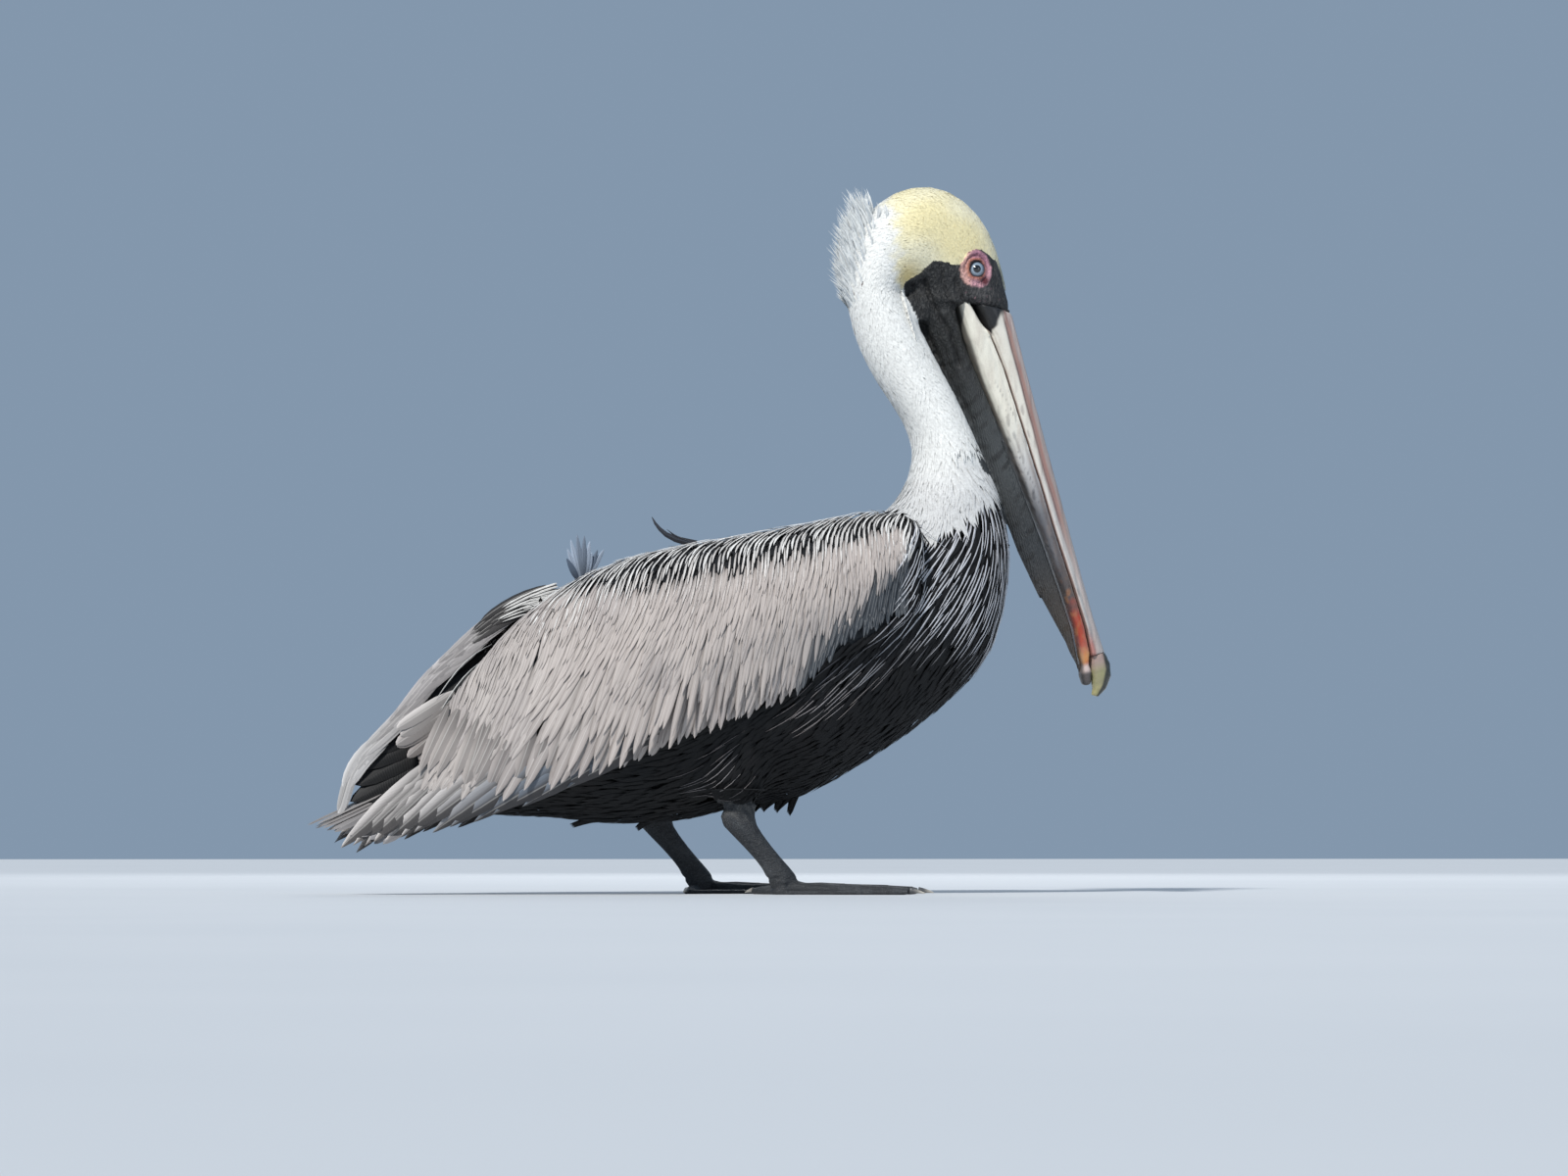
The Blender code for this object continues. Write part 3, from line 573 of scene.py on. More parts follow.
def skin_colour(p):
    kind = skin_parts(p)
    colour = mix(body_colour(p), neck_colour(p) * 0.97, neck_share(p))
    wing = ramp(wing_zone(p), -0.004, 0.004) * (1 - neck_share(p))
    wing *= np.maximum(ramp(p[:, 0], -0.13, -0.10), ramp(np.abs(p[:, 1]), 0.022, 0.032))
    # Under the coverts the skin is silver at less than half its brightness: painted shade in the gaps
    # between the feathers.
    colour = mix(colour, silver(p) * 0.45, wing * ramp(wing_drop(p), 0.03, 0.05))
    colour = np.where((kind == 1)[:, None], face_colour(p), colour)
    colour = np.where((kind == 2)[:, None], pouch_colour(p), colour)
    legs = mix(LEG_SKIN, shade(70, 74, 78), ramp(waves(p, 0.02, 84), 0, 1.2) * 0.5)
    hock = bump(p[:, 2], 0.060, 0.009) * ramp(waves(p, 0.006, 85), -0.6, 0.6)
    legs = mix(legs, shade(100, 99, 96), hock * 0.5)
    return np.where((kind == 3)[:, None], legs, colour)


# ---- materials ---------------------------------------------------------------------
class Shader:
    """A Principled material and short ways to add nodes to it."""

    def __init__(self, name, roughness, sheen=0.0, coat=0.0, specular=0.5):
        self.material = bpy.data.materials.new(name)
        self.material.use_nodes = True
        self.nodes = self.material.node_tree.nodes
        self.links = self.material.node_tree.links
        self.main = self.nodes["Principled BSDF"]
        self.main.inputs["Roughness"].default_value = roughness
        self.main.inputs["Sheen Weight"].default_value = sheen
        self.main.inputs["Coat Weight"].default_value = coat
        self.main.inputs["Coat Roughness"].default_value = 0.08
        self.main.inputs["Specular IOR Level"].default_value = specular
        self.slopes = []

    def add(self, kind, **settings):
        node = self.nodes.new(kind)
        for key, value in settings.items():
            if key in node.inputs:
                node.inputs[key].default_value = value
            else:
                setattr(node, key, value)
        return node

    def attribute(self, name, output):
        return self.add("ShaderNodeAttribute", attribute_name=name).outputs[output]

    def math(self, operation, a, b=None):
        node = self.add("ShaderNodeMath", operation=operation)
        for i, value in enumerate((a, b)):
            if value is None:
                continue
            if isinstance(value, (int, float)):
                node.inputs[i].default_value = value
            else:
                self.links.new(value, node.inputs[i])
        return node.outputs[0]

    def noise(self, scale, detail=3.0, stretch=None, rough=0.55):
        where = self.add("ShaderNodeTexCoord").outputs["Object"]
        if stretch:
            turn = self.add("ShaderNodeMapping")
            turn.inputs["Scale"].default_value = stretch
            self.links.new(where, turn.inputs["Vector"])
            where = turn.outputs[0]
        node = self.add("ShaderNodeTexNoise", Scale=scale, Detail=detail, Roughness=rough)
        self.links.new(where, node.inputs["Vector"])
        return node.outputs["Fac"]

    def ramp(self, value, low, high, start=0.0, end=1.0):
        node = self.add("ShaderNodeMapRange")
        node.inputs["From Min"].default_value = low
        node.inputs["From Max"].default_value = high
        node.inputs["To Min"].default_value = start
        node.inputs["To Max"].default_value = end
        self.links.new(value, node.inputs["Value"])
        return node.outputs[0]

    def blend(self, share, a, b, kind="MIX"):
        node = self.add("ShaderNodeMix", data_type="RGBA", blend_type=kind)
        for socket, value in ((node.inputs[0], share), (node.inputs[6], a), (node.inputs[7], b)):
            if isinstance(value, (int, float)):
                socket.default_value = value
            elif isinstance(value, (tuple, list, np.ndarray)):
                socket.default_value = (*value, 1.0)
            else:
                self.links.new(value, socket)
        return node.outputs[2]

    def relief(self, height, strength, distance):
        """Adds a layer of bump."""
        node = self.add("ShaderNodeBump", Strength=strength, Distance=distance)
        self.links.new(height, node.inputs["Height"])
        if self.slopes:
            self.links.new(self.slopes[-1], node.inputs["Normal"])
        self.slopes.append(node.outputs[0])

    def done(self, colour, roughness=None):
        self.links.new(colour, self.main.inputs["Base Color"])
        if roughness is not None:
            self.links.new(roughness, self.main.inputs["Roughness"])
        if self.slopes:
            self.links.new(self.slopes[-1], self.main.inputs["Normal"])
        return self.material


def down_material():
    """The skin under the feathers: the coat's own colour, a little darker, and much darker under the
    coverts as painted shade.
    """
    s = Shader("under_coat", 0.9)
    tint = s.attribute("tint", "Color")
    speck = s.noise(900)
    s.relief(speck, 0.4, 0.001)
    return s.done(s.blend(s.ramp(speck, 0.3, 0.7, 0, 0.12), tint, (0, 0, 0)))


def feather_material(name, roughness, sheen):
    """Small feathers: the tint painted on each, with a little grain from root to tip."""
    s = Shader(name, roughness, sheen, specular=0.35)
    tint = s.attribute("tint", "Color")
    grain = s.noise(700, 2)
    s.relief(grain, 0.25, 0.0006)
    return s.done(s.blend(s.ramp(grain, 0.3, 0.75, 0, 0.22), tint, (0.0, 0.0, 0.0)))


def vane_material(name, roughness, sheen, shaft, shaft_share):
    """Long feathers: barbs slanting off a shaft, fine lines along it, and the shaft."""
    s = Shader(name, roughness, sheen, specular=0.35)
    tint = s.attribute("tint", "Color")
    across = s.attribute("across", "Fac")
    along = s.attribute("reach", "Fac")
    side = s.math("ABSOLUTE", across)
    slant = s.math("SUBTRACT", along, s.math("MULTIPLY", side, 0.006))
    barbs = s.math("SINE", s.math("MULTIPLY", slant, 2 * math.pi / 0.0013))
    s.relief(barbs, 0.25, 0.0002)
    lane = s.add("ShaderNodeCombineXYZ")
    s.links.new(s.math("MULTIPLY", across, 2.6), lane.inputs[0])
    s.links.new(s.math("MULTIPLY", along, 45.0), lane.inputs[1])
    s.links.new(s.noise(22, 1), lane.inputs[2])
    fine = s.add("ShaderNodeTexNoise", Scale=1.0, Detail=3.0)
    s.links.new(lane.outputs[0], fine.inputs["Vector"])
    colour = s.blend(s.ramp(fine.outputs["Fac"], 0.5, 0.75, 0, 0.18), tint, (0.03, 0.028, 0.027))
    line = s.ramp(side, 0.03, 0.13, shaft_share, 0.0)
    return s.done(s.blend(line, colour, shaft))


def face_material():
    s = Shader("bare_face", 0.5, specular=0.4)
    tint = s.attribute("tint", "Color")
    fine = s.noise(1500, 4)
    folds = s.noise(420, 3, stretch=(1.0, 1.0, 0.45))
    crinkle = s.noise(760, 4, stretch=(1.0, 1.0, 0.6))
    s.relief(fine, 0.4, 0.0010)
    s.relief(folds, 0.9, 0.0028)
    s.relief(crinkle, 0.8, 0.0018)
    # Paler where the crinkles stand up: partly dust and partly a painted highlight on the ridges.
    ridge_tone = s.blend(s.ramp(crinkle, 0.50, 0.78, 0, 0.55), tint, (0.13, 0.128, 0.125))
    return s.done(s.blend(s.ramp(fine, 0.5, 0.8, 0, 0.3), ridge_tone, (0.010, 0.010, 0.011)))


def pouch_material():
    """Thin dark skin with fine creases that run the length of the pouch."""
    s = Shader("pouch", 0.55, specular=0.35)
    tint = s.attribute("tint", "Color")
    out = s.attribute("out", "Fac")
    fade = s.ramp(s.attribute("down", "Fac"), -0.015, 0.045)
    wander = s.ramp(s.noise(120, 3), 0, 1, -0.0016, 0.0016)
    lane = s.math("ADD", out, wander)
    crease = s.math("SINE", s.math("MULTIPLY", lane, 2 * math.pi / 0.0013))
    crease = s.math("MULTIPLY", crease, fade)
    fine = s.noise(1300, 3)
    folds = s.noise(420, 3, stretch=(1.0, 1.0, 0.45))
    s.relief(crease, 0.5, 0.0005)
    s.relief(fine, 0.3, 0.0006)
    high = s.math("SUBTRACT", 1.0, fade)
    s.relief(s.math("MULTIPLY", folds, high), 0.9, 0.0028)
    crinkle = s.noise(760, 4, stretch=(1.0, 1.0, 0.6))
    s.relief(s.math("MULTIPLY", crinkle, s.ramp(fade, 0.0, 1.0, 1.0, 0.35)), 0.8, 0.0018)
    # Paler on the crinkles' ridges: partly dust and partly a painted highlight.
    pale_share = s.ramp(crinkle, 0.50, 0.80, 0, 0.40)
    pale = s.blend(pale_share, tint, shade(84, 87, 88))
    line = s.ramp(crease, 0.2, 1.0, 0, 0.22)
    return s.done(s.blend(line, pale, shade(80, 80, 78)))


def leg_material():
    """Finely scaled skin, with a little dust on the scales."""
    s = Shader("leg_scales", 0.55, specular=0.4)
    tint = s.attribute("tint", "Color")
    where = s.add("ShaderNodeTexCoord").outputs["Object"]
    cells = s.add("ShaderNodeTexVoronoi", feature="DISTANCE_TO_EDGE", Scale=760.0)
    s.links.new(where, cells.inputs["Vector"])
    gap = s.ramp(cells.outputs["Distance"], 0.0, 0.20)
    s.relief(gap, 0.5, 0.0005)
    folds = s.noise(260, 3, stretch=(1.0, 1.0, 1.8))
    s.relief(folds, 0.6, 0.0018)
    grain = s.noise(1600, 3)
    s.relief(grain, 0.25, 0.0004)
    scale = s.blend(s.ramp(grain, 0.4, 0.75, 0, 0.25), tint, shade(112, 114, 116))
    ridge_tone = s.blend(s.ramp(folds, 0.5, 0.8, 0, 0.3), scale, shade(98, 99, 100))
    return s.done(s.blend(gap, s.blend(0.45, tint, (0.005, 0.005, 0.006)), ridge_tone))


def horn_material(name, roughness, coat):
    s = Shader(name, roughness, coat=coat, specular=0.5)
    tint = s.attribute("tint", "Color")
    fibre = s.noise(240, 4, stretch=(1.0, 1.0, 0.12))
    pits = s.noise(1400, 3)
    s.relief(fibre, 0.35, 0.0006)
    s.relief(pits, 0.2, 0.0003)
    share = s.math("MULTIPLY", s.ramp(fibre, 0.45, 0.75, 0, 0.35), s.ramp(tint, 0.02, 0.15))
    ridge_tone = s.blend(share, tint, shade(150, 132, 120))
    rough = s.ramp(fibre, 0.2, 0.8, roughness - 0.08, roughness + 0.12)
    return s.done(s.blend(s.ramp(pits, 0.55, 0.8, 0, 0.3), ridge_tone, shade(96, 92, 90)), rough)


def eye_material():
    """Pupil, pale ring of the iris with fine rays, and a dark rim, under a clear gloss."""
    s = Shader("eye_gloss", 0.12, coat=0.8, specular=0.6)
    far = s.attribute("far", "Fac")
    turn = s.attribute("turn", "Fac")
    rays = s.add("ShaderNodeTexNoise", Scale=1.0, Detail=2.0)
    where = s.add("ShaderNodeCombineXYZ")
    s.links.new(s.math("MULTIPLY", turn, 9.0), where.inputs[0])
    s.links.new(s.math("MULTIPLY", far, 500.0), where.inputs[1])
    s.links.new(where.outputs[0], rays.inputs["Vector"])
    iris = s.blend(rays.outputs["Fac"], shade(98, 116, 132), shade(166, 180, 192))
    iris = s.blend(s.ramp(far, 0.0036, 0.0050), iris, shade(82, 96, 112))
    rim = s.blend(s.ramp(far, 0.0049, 0.0055), iris, shade(44, 24, 24))
    return s.done(s.blend(s.ramp(far, 0.0026, 0.0029), shade(6, 8, 13), rim))


# ---- skin --------------------------------------------------------------------------
def coat_depth(p):
    """How far the skin lies under the feathers' outer surface."""
    neck = neck_share(p)
    depth = 0.0045 * (1 - neck) + 0.0013 * neck
    rim = (wing_zone(p) > -0.006) * (1 - ramp(wing_zone(p), 0.006, 0.016))
    depth = depth * (1 - 0.5 * rim * (1 - neck))
    bare = ramp(face_edge(p), -0.0015, 0.0010) * ramp(p[:, 2], 0.40, 0.42)
    return depth * (1 - bare)


def make_body_skin():
    """The body's skin. The thin front edge of each wing is moved whole, not drawn in."""
    mesh = softened(remeshed(BODY_NODES, 0.0030, 0.0005, 6), thigh_area, 16)
    p = points_of(mesh)
    thin = ramp(p[:, 0], 0.106, 0.118) * ramp(wing_zone(p), -0.010, -0.002)
    p -= normals_of(mesh) * ((coat_depth(p) + 0.0012) * (1 - thin))[:, None]
    p -= thin[:, None] * np.stack((np.full(len(p), 0.0045), np.sign(p[:, 1]) * 0.0050,
                                   np.full(len(p), 0.0030)), 1)
    put_points(mesh, p)
    return mesh


def lids(p):
    """How far the skin stands out round the eyes: a lid, a furrow and an outer fold."""
    x, _, z = p.T
    far = eye_reach(p)
    angle = np.arctan2(z - EYE_Z, x - EYE_X)
    lid = 0.0015 * bump(far, 0.0066, 0.0012)
    furrow = -0.0008 * bump(far, 0.0088, 0.0008)
    fold = 0.0015 * bump(far, 0.0112, 0.0018) * (0.45 + 0.55 * np.sin(angle + 0.2))
    crinkle = 0.00018 * np.sin(angle * 26 + 900 * far) * bump(far, 0.0100, 0.0035)
    return lid + furrow + fold + crinkle


def face_folds(p):
    """Wrinkles of the bare face and of the pouch's upper end."""
    s, o = bill_frame(p)
    fold = np.zeros(len(p))
    for path, deep, wide in GROOVES:
        fold -= deep * bump(line_gap(p, path) + 0.0003 * waves(p, 0.008, 41), 0, wide)
    for start, lean, deep in ((-0.058, 0.13, 0.0008), (-0.046, 0.16, 0.0007)):
        line = start + lean * (s + 0.02) + 0.0008 * waves(p, 0.02, 43)
        reach = ramp(s, 0.000, 0.012) * ramp(0.090 - s, 0, 0.04)
        fold -= deep * bump(o - line, 0, 0.0011) * reach
    return fold + 0.00022 * waves(p * (1.0, 1.0, 0.35), 0.0045, 42)


def make_head_skin():
    """The head's and neck's skin with its folds, widened where the pouch meets the head
    and plugged across the throat. The pouch's end is drawn out along the bill."""
    mesh = remeshed(HEAD_NODES, 0.0012, 0.0004, 14, THROAT_PLUG)
    p = points_of(mesh)
    s, o = bill_frame(p)
    below = s - (0.0014 - 0.44 * (0.0033 - o))
    wide = ramp(below, -0.005, 0.001) * (1 - ramp(below, 0.0, 0.050)) * ramp(-o, 0.030, 0.038)
    p[:, 1] *= 1 + 0.36 * wide * (o > -0.075)
    end = np.clip((s - POUCH_END[0]) / (POUCH_END[1] - POUCH_END[0]), 0, 1.1)
    far = s + end * (POUCH_END[2] - POUCH_END[1])
    line = -0.0218 + 0.312 * (far - 0.2382)
    out = np.where(end > 0, np.maximum(o, line), o)
    ahead, down = math.sin(BILL_SLOPE), math.cos(BILL_SLOPE)
    p[:, 0] += (far - s) * ahead + (out - o) * down
    p[:, 2] += (out - o) * ahead - (far - s) * down
    p[:, 1] *= 1 - 0.45 * end
    put_points(mesh, p)
    softened(mesh, throat_seam, 30)
    p = points_of(mesh)
    n = normals_of(mesh)
    bare = ramp(face_edge(p), -0.001, 0.002)
    rise = face_folds(p) * np.maximum(bare, pouch_share(p)) * ramp(p[:, 2], 0.30, 0.34)
    rise += lids(p) * ramp(np.abs(p[:, 1]), 0.010, 0.015)
    edge = 0.0013 * ramp(below, -0.011, -0.001) * (1 - ramp(below, 0.002, 0.012))
    rise -= (edge + 0.0011 * ramp(below, -0.005, -0.001)) * (o > -0.030)
    depth = coat_depth(p) * (1 - pouch_share(p)) * (1 - ramp(p[:, 0], 0.220, 0.224))
    put_points(mesh, p + n * (rise - depth)[:, None])
    return mesh


def make_leg_skin(side):
    """A leg's bare skin, drawn in under the feathers where the thigh meets the body."""
    mesh = remeshed([f"{name}_{side}" for name in LEG_NODES], 0.0011, 0.0003, 5)
    p = points_of(mesh)
    p -= normals_of(mesh) * (0.0070 * ramp(p[:, 2], 0.056, 0.069))[:, None]
    p[:, 2] = np.clip(p[:, 2], 0.0, 0.072 + 0.05 * np.maximum(p[:, 2] - 0.072, 0))
    put_points(mesh, p)
    return mesh


def make_skin():
    meshes = [make_body_skin(), make_head_skin(), *(make_leg_skin(side) for side in SIDES)]
    objects = []
    for mesh in meshes:
        obj = bpy.data.objects.new("skin_work", mesh)
        bpy.context.scene.collection.objects.link(obj)
        objects.append(obj)
    base = objects[0]
    for other in objects[1:]:
        join = base.modifiers.new("join", "BOOLEAN")
        join.operation = "UNION"
        join.solver = "MANIFOLD"
        join.object = other
    mesh = applied(base)
    for obj in objects[1:]:
        bpy.data.objects.remove(obj)
    return mesh


def in_order(points, corners):
    """The same triangles in a fixed order. The join leaves them in another one each run."""
    order = np.lexsort(points.T)
    place = np.empty(len(order), int)
    place[order] = np.arange(len(order))
    corners = place[corners]
    turn = (corners.argmin(1)[:, None] + (0, 1, 2)) % 3
    corners = np.take_along_axis(corners, turn, 1)
    return points[order], corners[np.lexsort(corners.T)]


def finish_skin(mesh):
    """Names the skin, colours it, and gives each part of it its own material."""
    p, corners = in_order(points_of(mesh), triangles_of(mesh))
    skin = new_mesh("skin", p, corners)
    set_colours(skin, "tint", skin_colour(p))
    s, o = bill_frame(p)
    set_numbers(skin, "out", o)
    set_numbers(skin, "down", s)
    for make in (down_material, face_material, pouch_material, leg_material):
        skin.materials.append(make())
    kind = skin_parts(p[corners].mean(axis=1))
    skin.polygons.foreach_set("material_index", kind.astype(np.int32))
    skin.update()
    link(bpy.data.objects.new("skin", skin), FLESH, "pouch_skin")


# ---- bill, eyes and claws ----------------------------------------------------------
def upper_bill(p):
    """The upper bill: a pale side plate, a dark red groove, and a pinkish ridge."""
    s, o = bill_frame(p)
    middle = np.interp(s, (0.0, 0.1, 0.2, 0.25), (-0.0062, -0.0052, -0.0034, -0.0024))
    middle = middle + 0.0004 * waves(p * (1, 1, 0.3), 0.015, 91)
    groove = bump(o, middle, 0.0011) * ramp(s, -0.004, 0.006) * (1 - 0.75 * ramp(s, 0.14, 0.20))
    rise = -0.0008 * groove + 0.00010 * waves(p * (1, 1, 0.3), 0.005, 92)
    plate = mix(shade(216, 211, 199), shade(196, 191, 186), ramp(s, 0.06, 0.16))
    stain = ramp(waves(p * (1, 1, 0.2), 0.004, 93), 0.6, 1.4) * ramp(s, 0.02, 0.08)
    plate = mix(plate, shade(150, 140, 134), stain * 0.6)
    ridge = mix(shade(208, 188, 178), shade(180, 164, 156), ramp(s, 0.02, 0.12))
    lane = bump(o, middle + 0.0016, 0.0015) * (1 - 0.6 * ramp(s, 0.12, 0.20))
    ridge = mix(ridge, shade(138, 86, 74), lane * 0.75)
    ridge = mix(ridge, shade(146, 106, 96), ramp(waves(p * (1, 1, 0.3), 0.008, 94), 0.0, 1.2) * 0.5)
    ridge = mix(ridge, shade(190, 182, 178), ramp(s, 0.14, 0.21) * 0.7)
    colour = mix(plate, ridge, ramp(o - middle, 0.0002, 0.0012))
    colour = mix(colour, shade(92, 44, 40), groove * 0.95)
    gape = o - np.interp(s, GAPE_S, GAPE_O)
    colour = mix(colour, shade(120, 78, 66), (1 - ramp(gape, 0.0004, 0.0018)) * 0.8)
    edge = np.interp(o, (-0.0200, -0.0150, -0.0100, -0.0050), (0.0125, 0.0062, 0.0018, -0.0010))
    base = 1 - ramp(s - edge + 0.0008 * waves(p, 0.006, 95), -0.0016, 0.0016)
    colour = mix(colour, shade(22, 22, 23), base)
    red = bump(s, 0.247, 0.011) * bump(o, -0.0047, 0.0018)
    colour = mix(colour, shade(176, 66, 46), np.clip(red * 1.3, 0, 1) * 0.7)
    return rise, colour


def lower_bill(p):
    """The lower bill's pale plate: mottled further down, red and orange near its tip."""
    s, o = bill_frame(p)
    rise = 0.00010 * waves(p * (1, 1, 0.3), 0.005, 94)
    rise -= 0.00035 * np.clip(waves(p, 0.004, 95) - 0.75, 0, 1) * ramp(s, 0.04, 0.09)
    rise += 0.0018 * ramp(s, 0.255, 0.262)
    colour = mix(shade(224, 220, 206), shade(184, 184, 184), ramp(s, 0.06, 0.12))
    colour = mix(colour, shade(98, 99, 104), ramp(s, 0.10, 0.15))
    colour = mix(colour, shade(78, 71, 69), ramp(s, 0.165, 0.20) * 0.8)
    mottle = ramp(waves(p * (1, 1, 0.5), 0.004, 96), 0.2, 1.1) * ramp(s, 0.03, 0.11)
    colour = mix(colour, shade(78, 78, 82), mottle * 0.65)
    speck = ramp(waves(p * (1, 1, 0.6), 0.0022, 99), 0.9, 1.5) * ramp(s, 0.02, 0.07)
    colour = mix(colour, shade(60, 60, 66), speck * 0.6)
    gape = np.interp(s, GAPE_S, GAPE_O) - o
    lane = bump(gape, 0.0026, 0.0012) * ramp(s, 0.06, 0.12) * (1 - ramp(s, 0.20, 0.23))
    colour = mix(colour, shade(92, 84, 84), lane * 0.6)
    colour = mix(colour, shade(96, 70, 62), (1 - ramp(gape, 0.0002, 0.0012)) * 0.7)
    middle = np.interp(s, (0.20, 0.235, 0.26), (-0.0105, -0.0100, -0.0110))
    red = ramp(s + 0.004 * waves(p, 0.012, 97), 0.204, 0.220) * bump(o, middle, 0.0026)
    colour = mix(colour, shade(178, 66, 42), np.clip(red * 1.2, 0, 1) * 0.85)
    stain = ramp(waves(p, 0.006, 88), 0.2, 1.0) * ramp(s, 0.18, 0.21)
    colour = mix(colour, shade(176, 120, 80), stain * 0.5)
    colour = mix(colour, shade(202, 148, 84), bump(s, 0.250, 0.005) * 0.7)
    colour = mix(colour, shade(190, 172, 166), ramp(s, 0.253, 0.257))
    dark_end = ramp(s, 0.2585, 0.2615)
    colour = mix(colour, shade(62, 58, 58), dark_end * 0.9)
    back = np.interp(s, (0, 0.04, 0.12, 0.25), (-0.0365, -0.0330, -0.0220, -0.0150))
    dark = 1 - ramp(o - back, 0.0004, 0.0022)
    return rise, mix(colour, shade(48, 48, 48), dark * 0.8)


def nail(p):
    """The hooked nail: pale beside the bill, dark olive in front, yellow at its end."""
    s, o = bill_frame(p)
    front = np.interp(s, (0.250, 0.262, 0.272, 0.280), (0.0020, 0.0015, -0.0035, -0.010))
    dark = ramp(o - front, -0.0008, 0.0012)
    colour = mix(shade(160, 138, 130), shade(138, 136, 98), ramp(s, 0.254, 0.264))
    colour = mix(colour, shade(172, 162, 108), ramp(s, 0.268, 0.278) * 0.6)
    return 0.00008 * waves(p, 0.004, 98), mix(colour, shade(44, 46, 38), dark)


def flat_sides(p):
    """Widens the bill's halves beside the line of the gape, so that they meet closely."""
    s, o = bill_frame(p)
    gape = np.interp(s, GAPE_S, GAPE_O)
    for sign, height, power in ((1, 0.0062, 2.0), (-1, 0.0068, 2.6)):
        off = np.clip((o - gape) * sign / height, 0.01, 1)
        shape = (1 - (1 - off) ** power) ** (1 / power)
        grow = 1 + (np.clip(0.97 / shape, 1, 3.2) - 1) * ramp(s, -0.002, 0.010)
        p[:, 1] *= np.where((o - gape) * sign > 0, grow, 1)
    return p


def make_bill():
    horn = horn_material("bill_horn", 0.42, 0.15)
    gloss = horn_material("nail_horn", 0.30, 0.4)
    plan = (("bill_upper", upper_bill, horn, "bill_horn", 0.0009),
            ("bill_lower", lower_bill, horn, "bill_horn", 0.0009),
            ("bill_nail", nail, gloss, "nail_horn", 0.0006))
    down = np.array((math.sin(BILL_SLOPE), 0, -math.cos(BILL_SLOPE)))
    for node, look, material, slot, voxel in plan:
        mesh = remeshed((node,), voxel, 0.0002, 3)
        p = points_of(mesh)
        rise, colour = look(p)
        if node != "bill_nail":
            p = flat_sides(p)
            s, _ = bill_frame(p)
            p -= down * (0.003 * (1 - ramp(s, -0.006, 0.008)))[:, None]
        put_points(mesh, p)
        put_points(mesh, p + normals_of(mesh) * rise[:, None])
        set_colours(mesh, "tint", colour)
        mesh.materials.append(material)
        link(bpy.data.objects.new(f"{node}_sheath", mesh), (node,), slot)


def make_claws():
    material = horn_material("claw_horn", 0.45, 0.1)
    for side in SIDES:
        for toe in ("hallux", "inner", "middle", "outer"):
            node = f"claw_{toe}_{side}"
            mesh = remeshed((node,), 0.0005, 0.0, 3)
            p = points_of(mesh)
            low, high = p.min(0), p.max(0)
            ahead = (p[:, 0] - low[0]) / (high[0] - low[0])
            share = 1 - ahead if toe == "hallux" else ahead
            colour = mix(shade(70, 72, 74), shade(176, 172, 162), ramp(share, 0.2, 0.9))
            set_colours(mesh, "tint", colour)
            mesh.materials.append(material)
            link(bpy.data.objects.new(f"{node}_sheath", mesh), (node,), "claw_horn")


def make_eyes():
    material = eye_material()
    rows, columns = 40, 64
    for name, side in SIDES.items():
        angle = np.linspace(0, math.pi, rows + 1)[1:-1]
        turn = np.arange(columns) / columns * 2 * math.pi
        a, b = np.meshgrid(angle, turn, indexing="ij")
        far = np.sin(a) * EYE_RADIUS
        cornea = 0.0006 * (1 - ramp(far, 0.0, 0.0042)) * (a < math.pi / 2)
        height = np.cos(a) * EYE_RADIUS + cornea
        ring = np.stack((far * np.cos(b), height, far * np.sin(b)), -1).reshape(-1, 3)
        points = np.vstack(((0, EYE_RADIUS + 0.0006, 0), ring, (0, -EYE_RADIUS, 0)))
        points = points * (1, side, 1) + (EYE_X, side * EYE_Y, EYE_Z)
        faces = []
        for j in range(columns):
            k = (j + 1) % columns
            faces.append((0, 1 + k, 1 + j))
            for i in range(rows - 2):
                c, d = 1 + i * columns + j, 1 + i * columns + k
                faces += [(c, d, d + columns), (c, d + columns, c + columns)]
            end = 1 + (rows - 2) * columns
            faces.append((end + j, end + k, len(points) - 1))
        faces = np.array(faces)
        if side == RIGHT:
            faces = faces[:, ::-1]
        mesh = new_mesh(f"eyeball_{name}", points, faces)
        flat = np.hypot(points[:, 0] - EYE_X, points[:, 2] - EYE_Z)
        flat = np.where((points[:, 1] - side * EYE_Y) * side > 0, flat, EYE_RADIUS)
        set_numbers(mesh, "far", flat)
        set_numbers(mesh, "turn", np.arctan2(points[:, 2] - EYE_Z, points[:, 0] - EYE_X))
        mesh.materials.append(material)
        link(bpy.data.objects.new(f"eyeball_{name}", mesh), (f"eye_{name}",), "eye")


# ---- surfaces that feathers lie along ----------------------------------------------
def nearest(tree, points):
    """The nearest places on the tree's surface, and the way out there."""
    on = np.empty_like(points)
    out = np.empty_like(points)
    for i, point in enumerate(points.tolist()):
        place, normal, _, _ = tree.find_nearest(point)
        on[i] = place
        out[i] = normal
    return on, out


def turned(way, out, angle):
    """The way laid flat on the surface and turned about its normal."""
    way = unit(way - (way * out).sum(1, keepdims=True) * out)
    side = np.cross(out, way)
    angle = np.asarray(angle)[:, None]
    return way * np.cos(angle) + side * np.sin(angle)


def smooth_along(normal):
    soft = normal.copy()
    soft[:, 1:] += normal[:, :-1]
    soft[:, :-1] += normal[:, 1:]
    return unit(soft)


def thinned(roots, lie, out, across, along):
    """The roots left when each kept one clears an oval round itself."""
    tree = KDTree(len(roots))
    for i, root in enumerate(roots.tolist()):
        tree.insert(root, i)
    tree.balance()
    side = np.cross(out, lie)
    lies, sides = [Vector(v) for v in lie], [Vector(v) for v in side]
    gone = np.zeros(len(roots), bool)
    kept = []
    for i, root in enumerate(roots.tolist()):
        if gone[i]:
            continue
        kept.append(i)
        here = Vector(root)
        for place, j, _ in tree.find_range(here, max(across[i], along[i])):
            off = place - here
            if (off.dot(lies[i]) / along[i]) ** 2 + (off.dot(sides[i]) / across[i]) ** 2 < 1:
                gone[j] = True
    return np.array(kept, int)


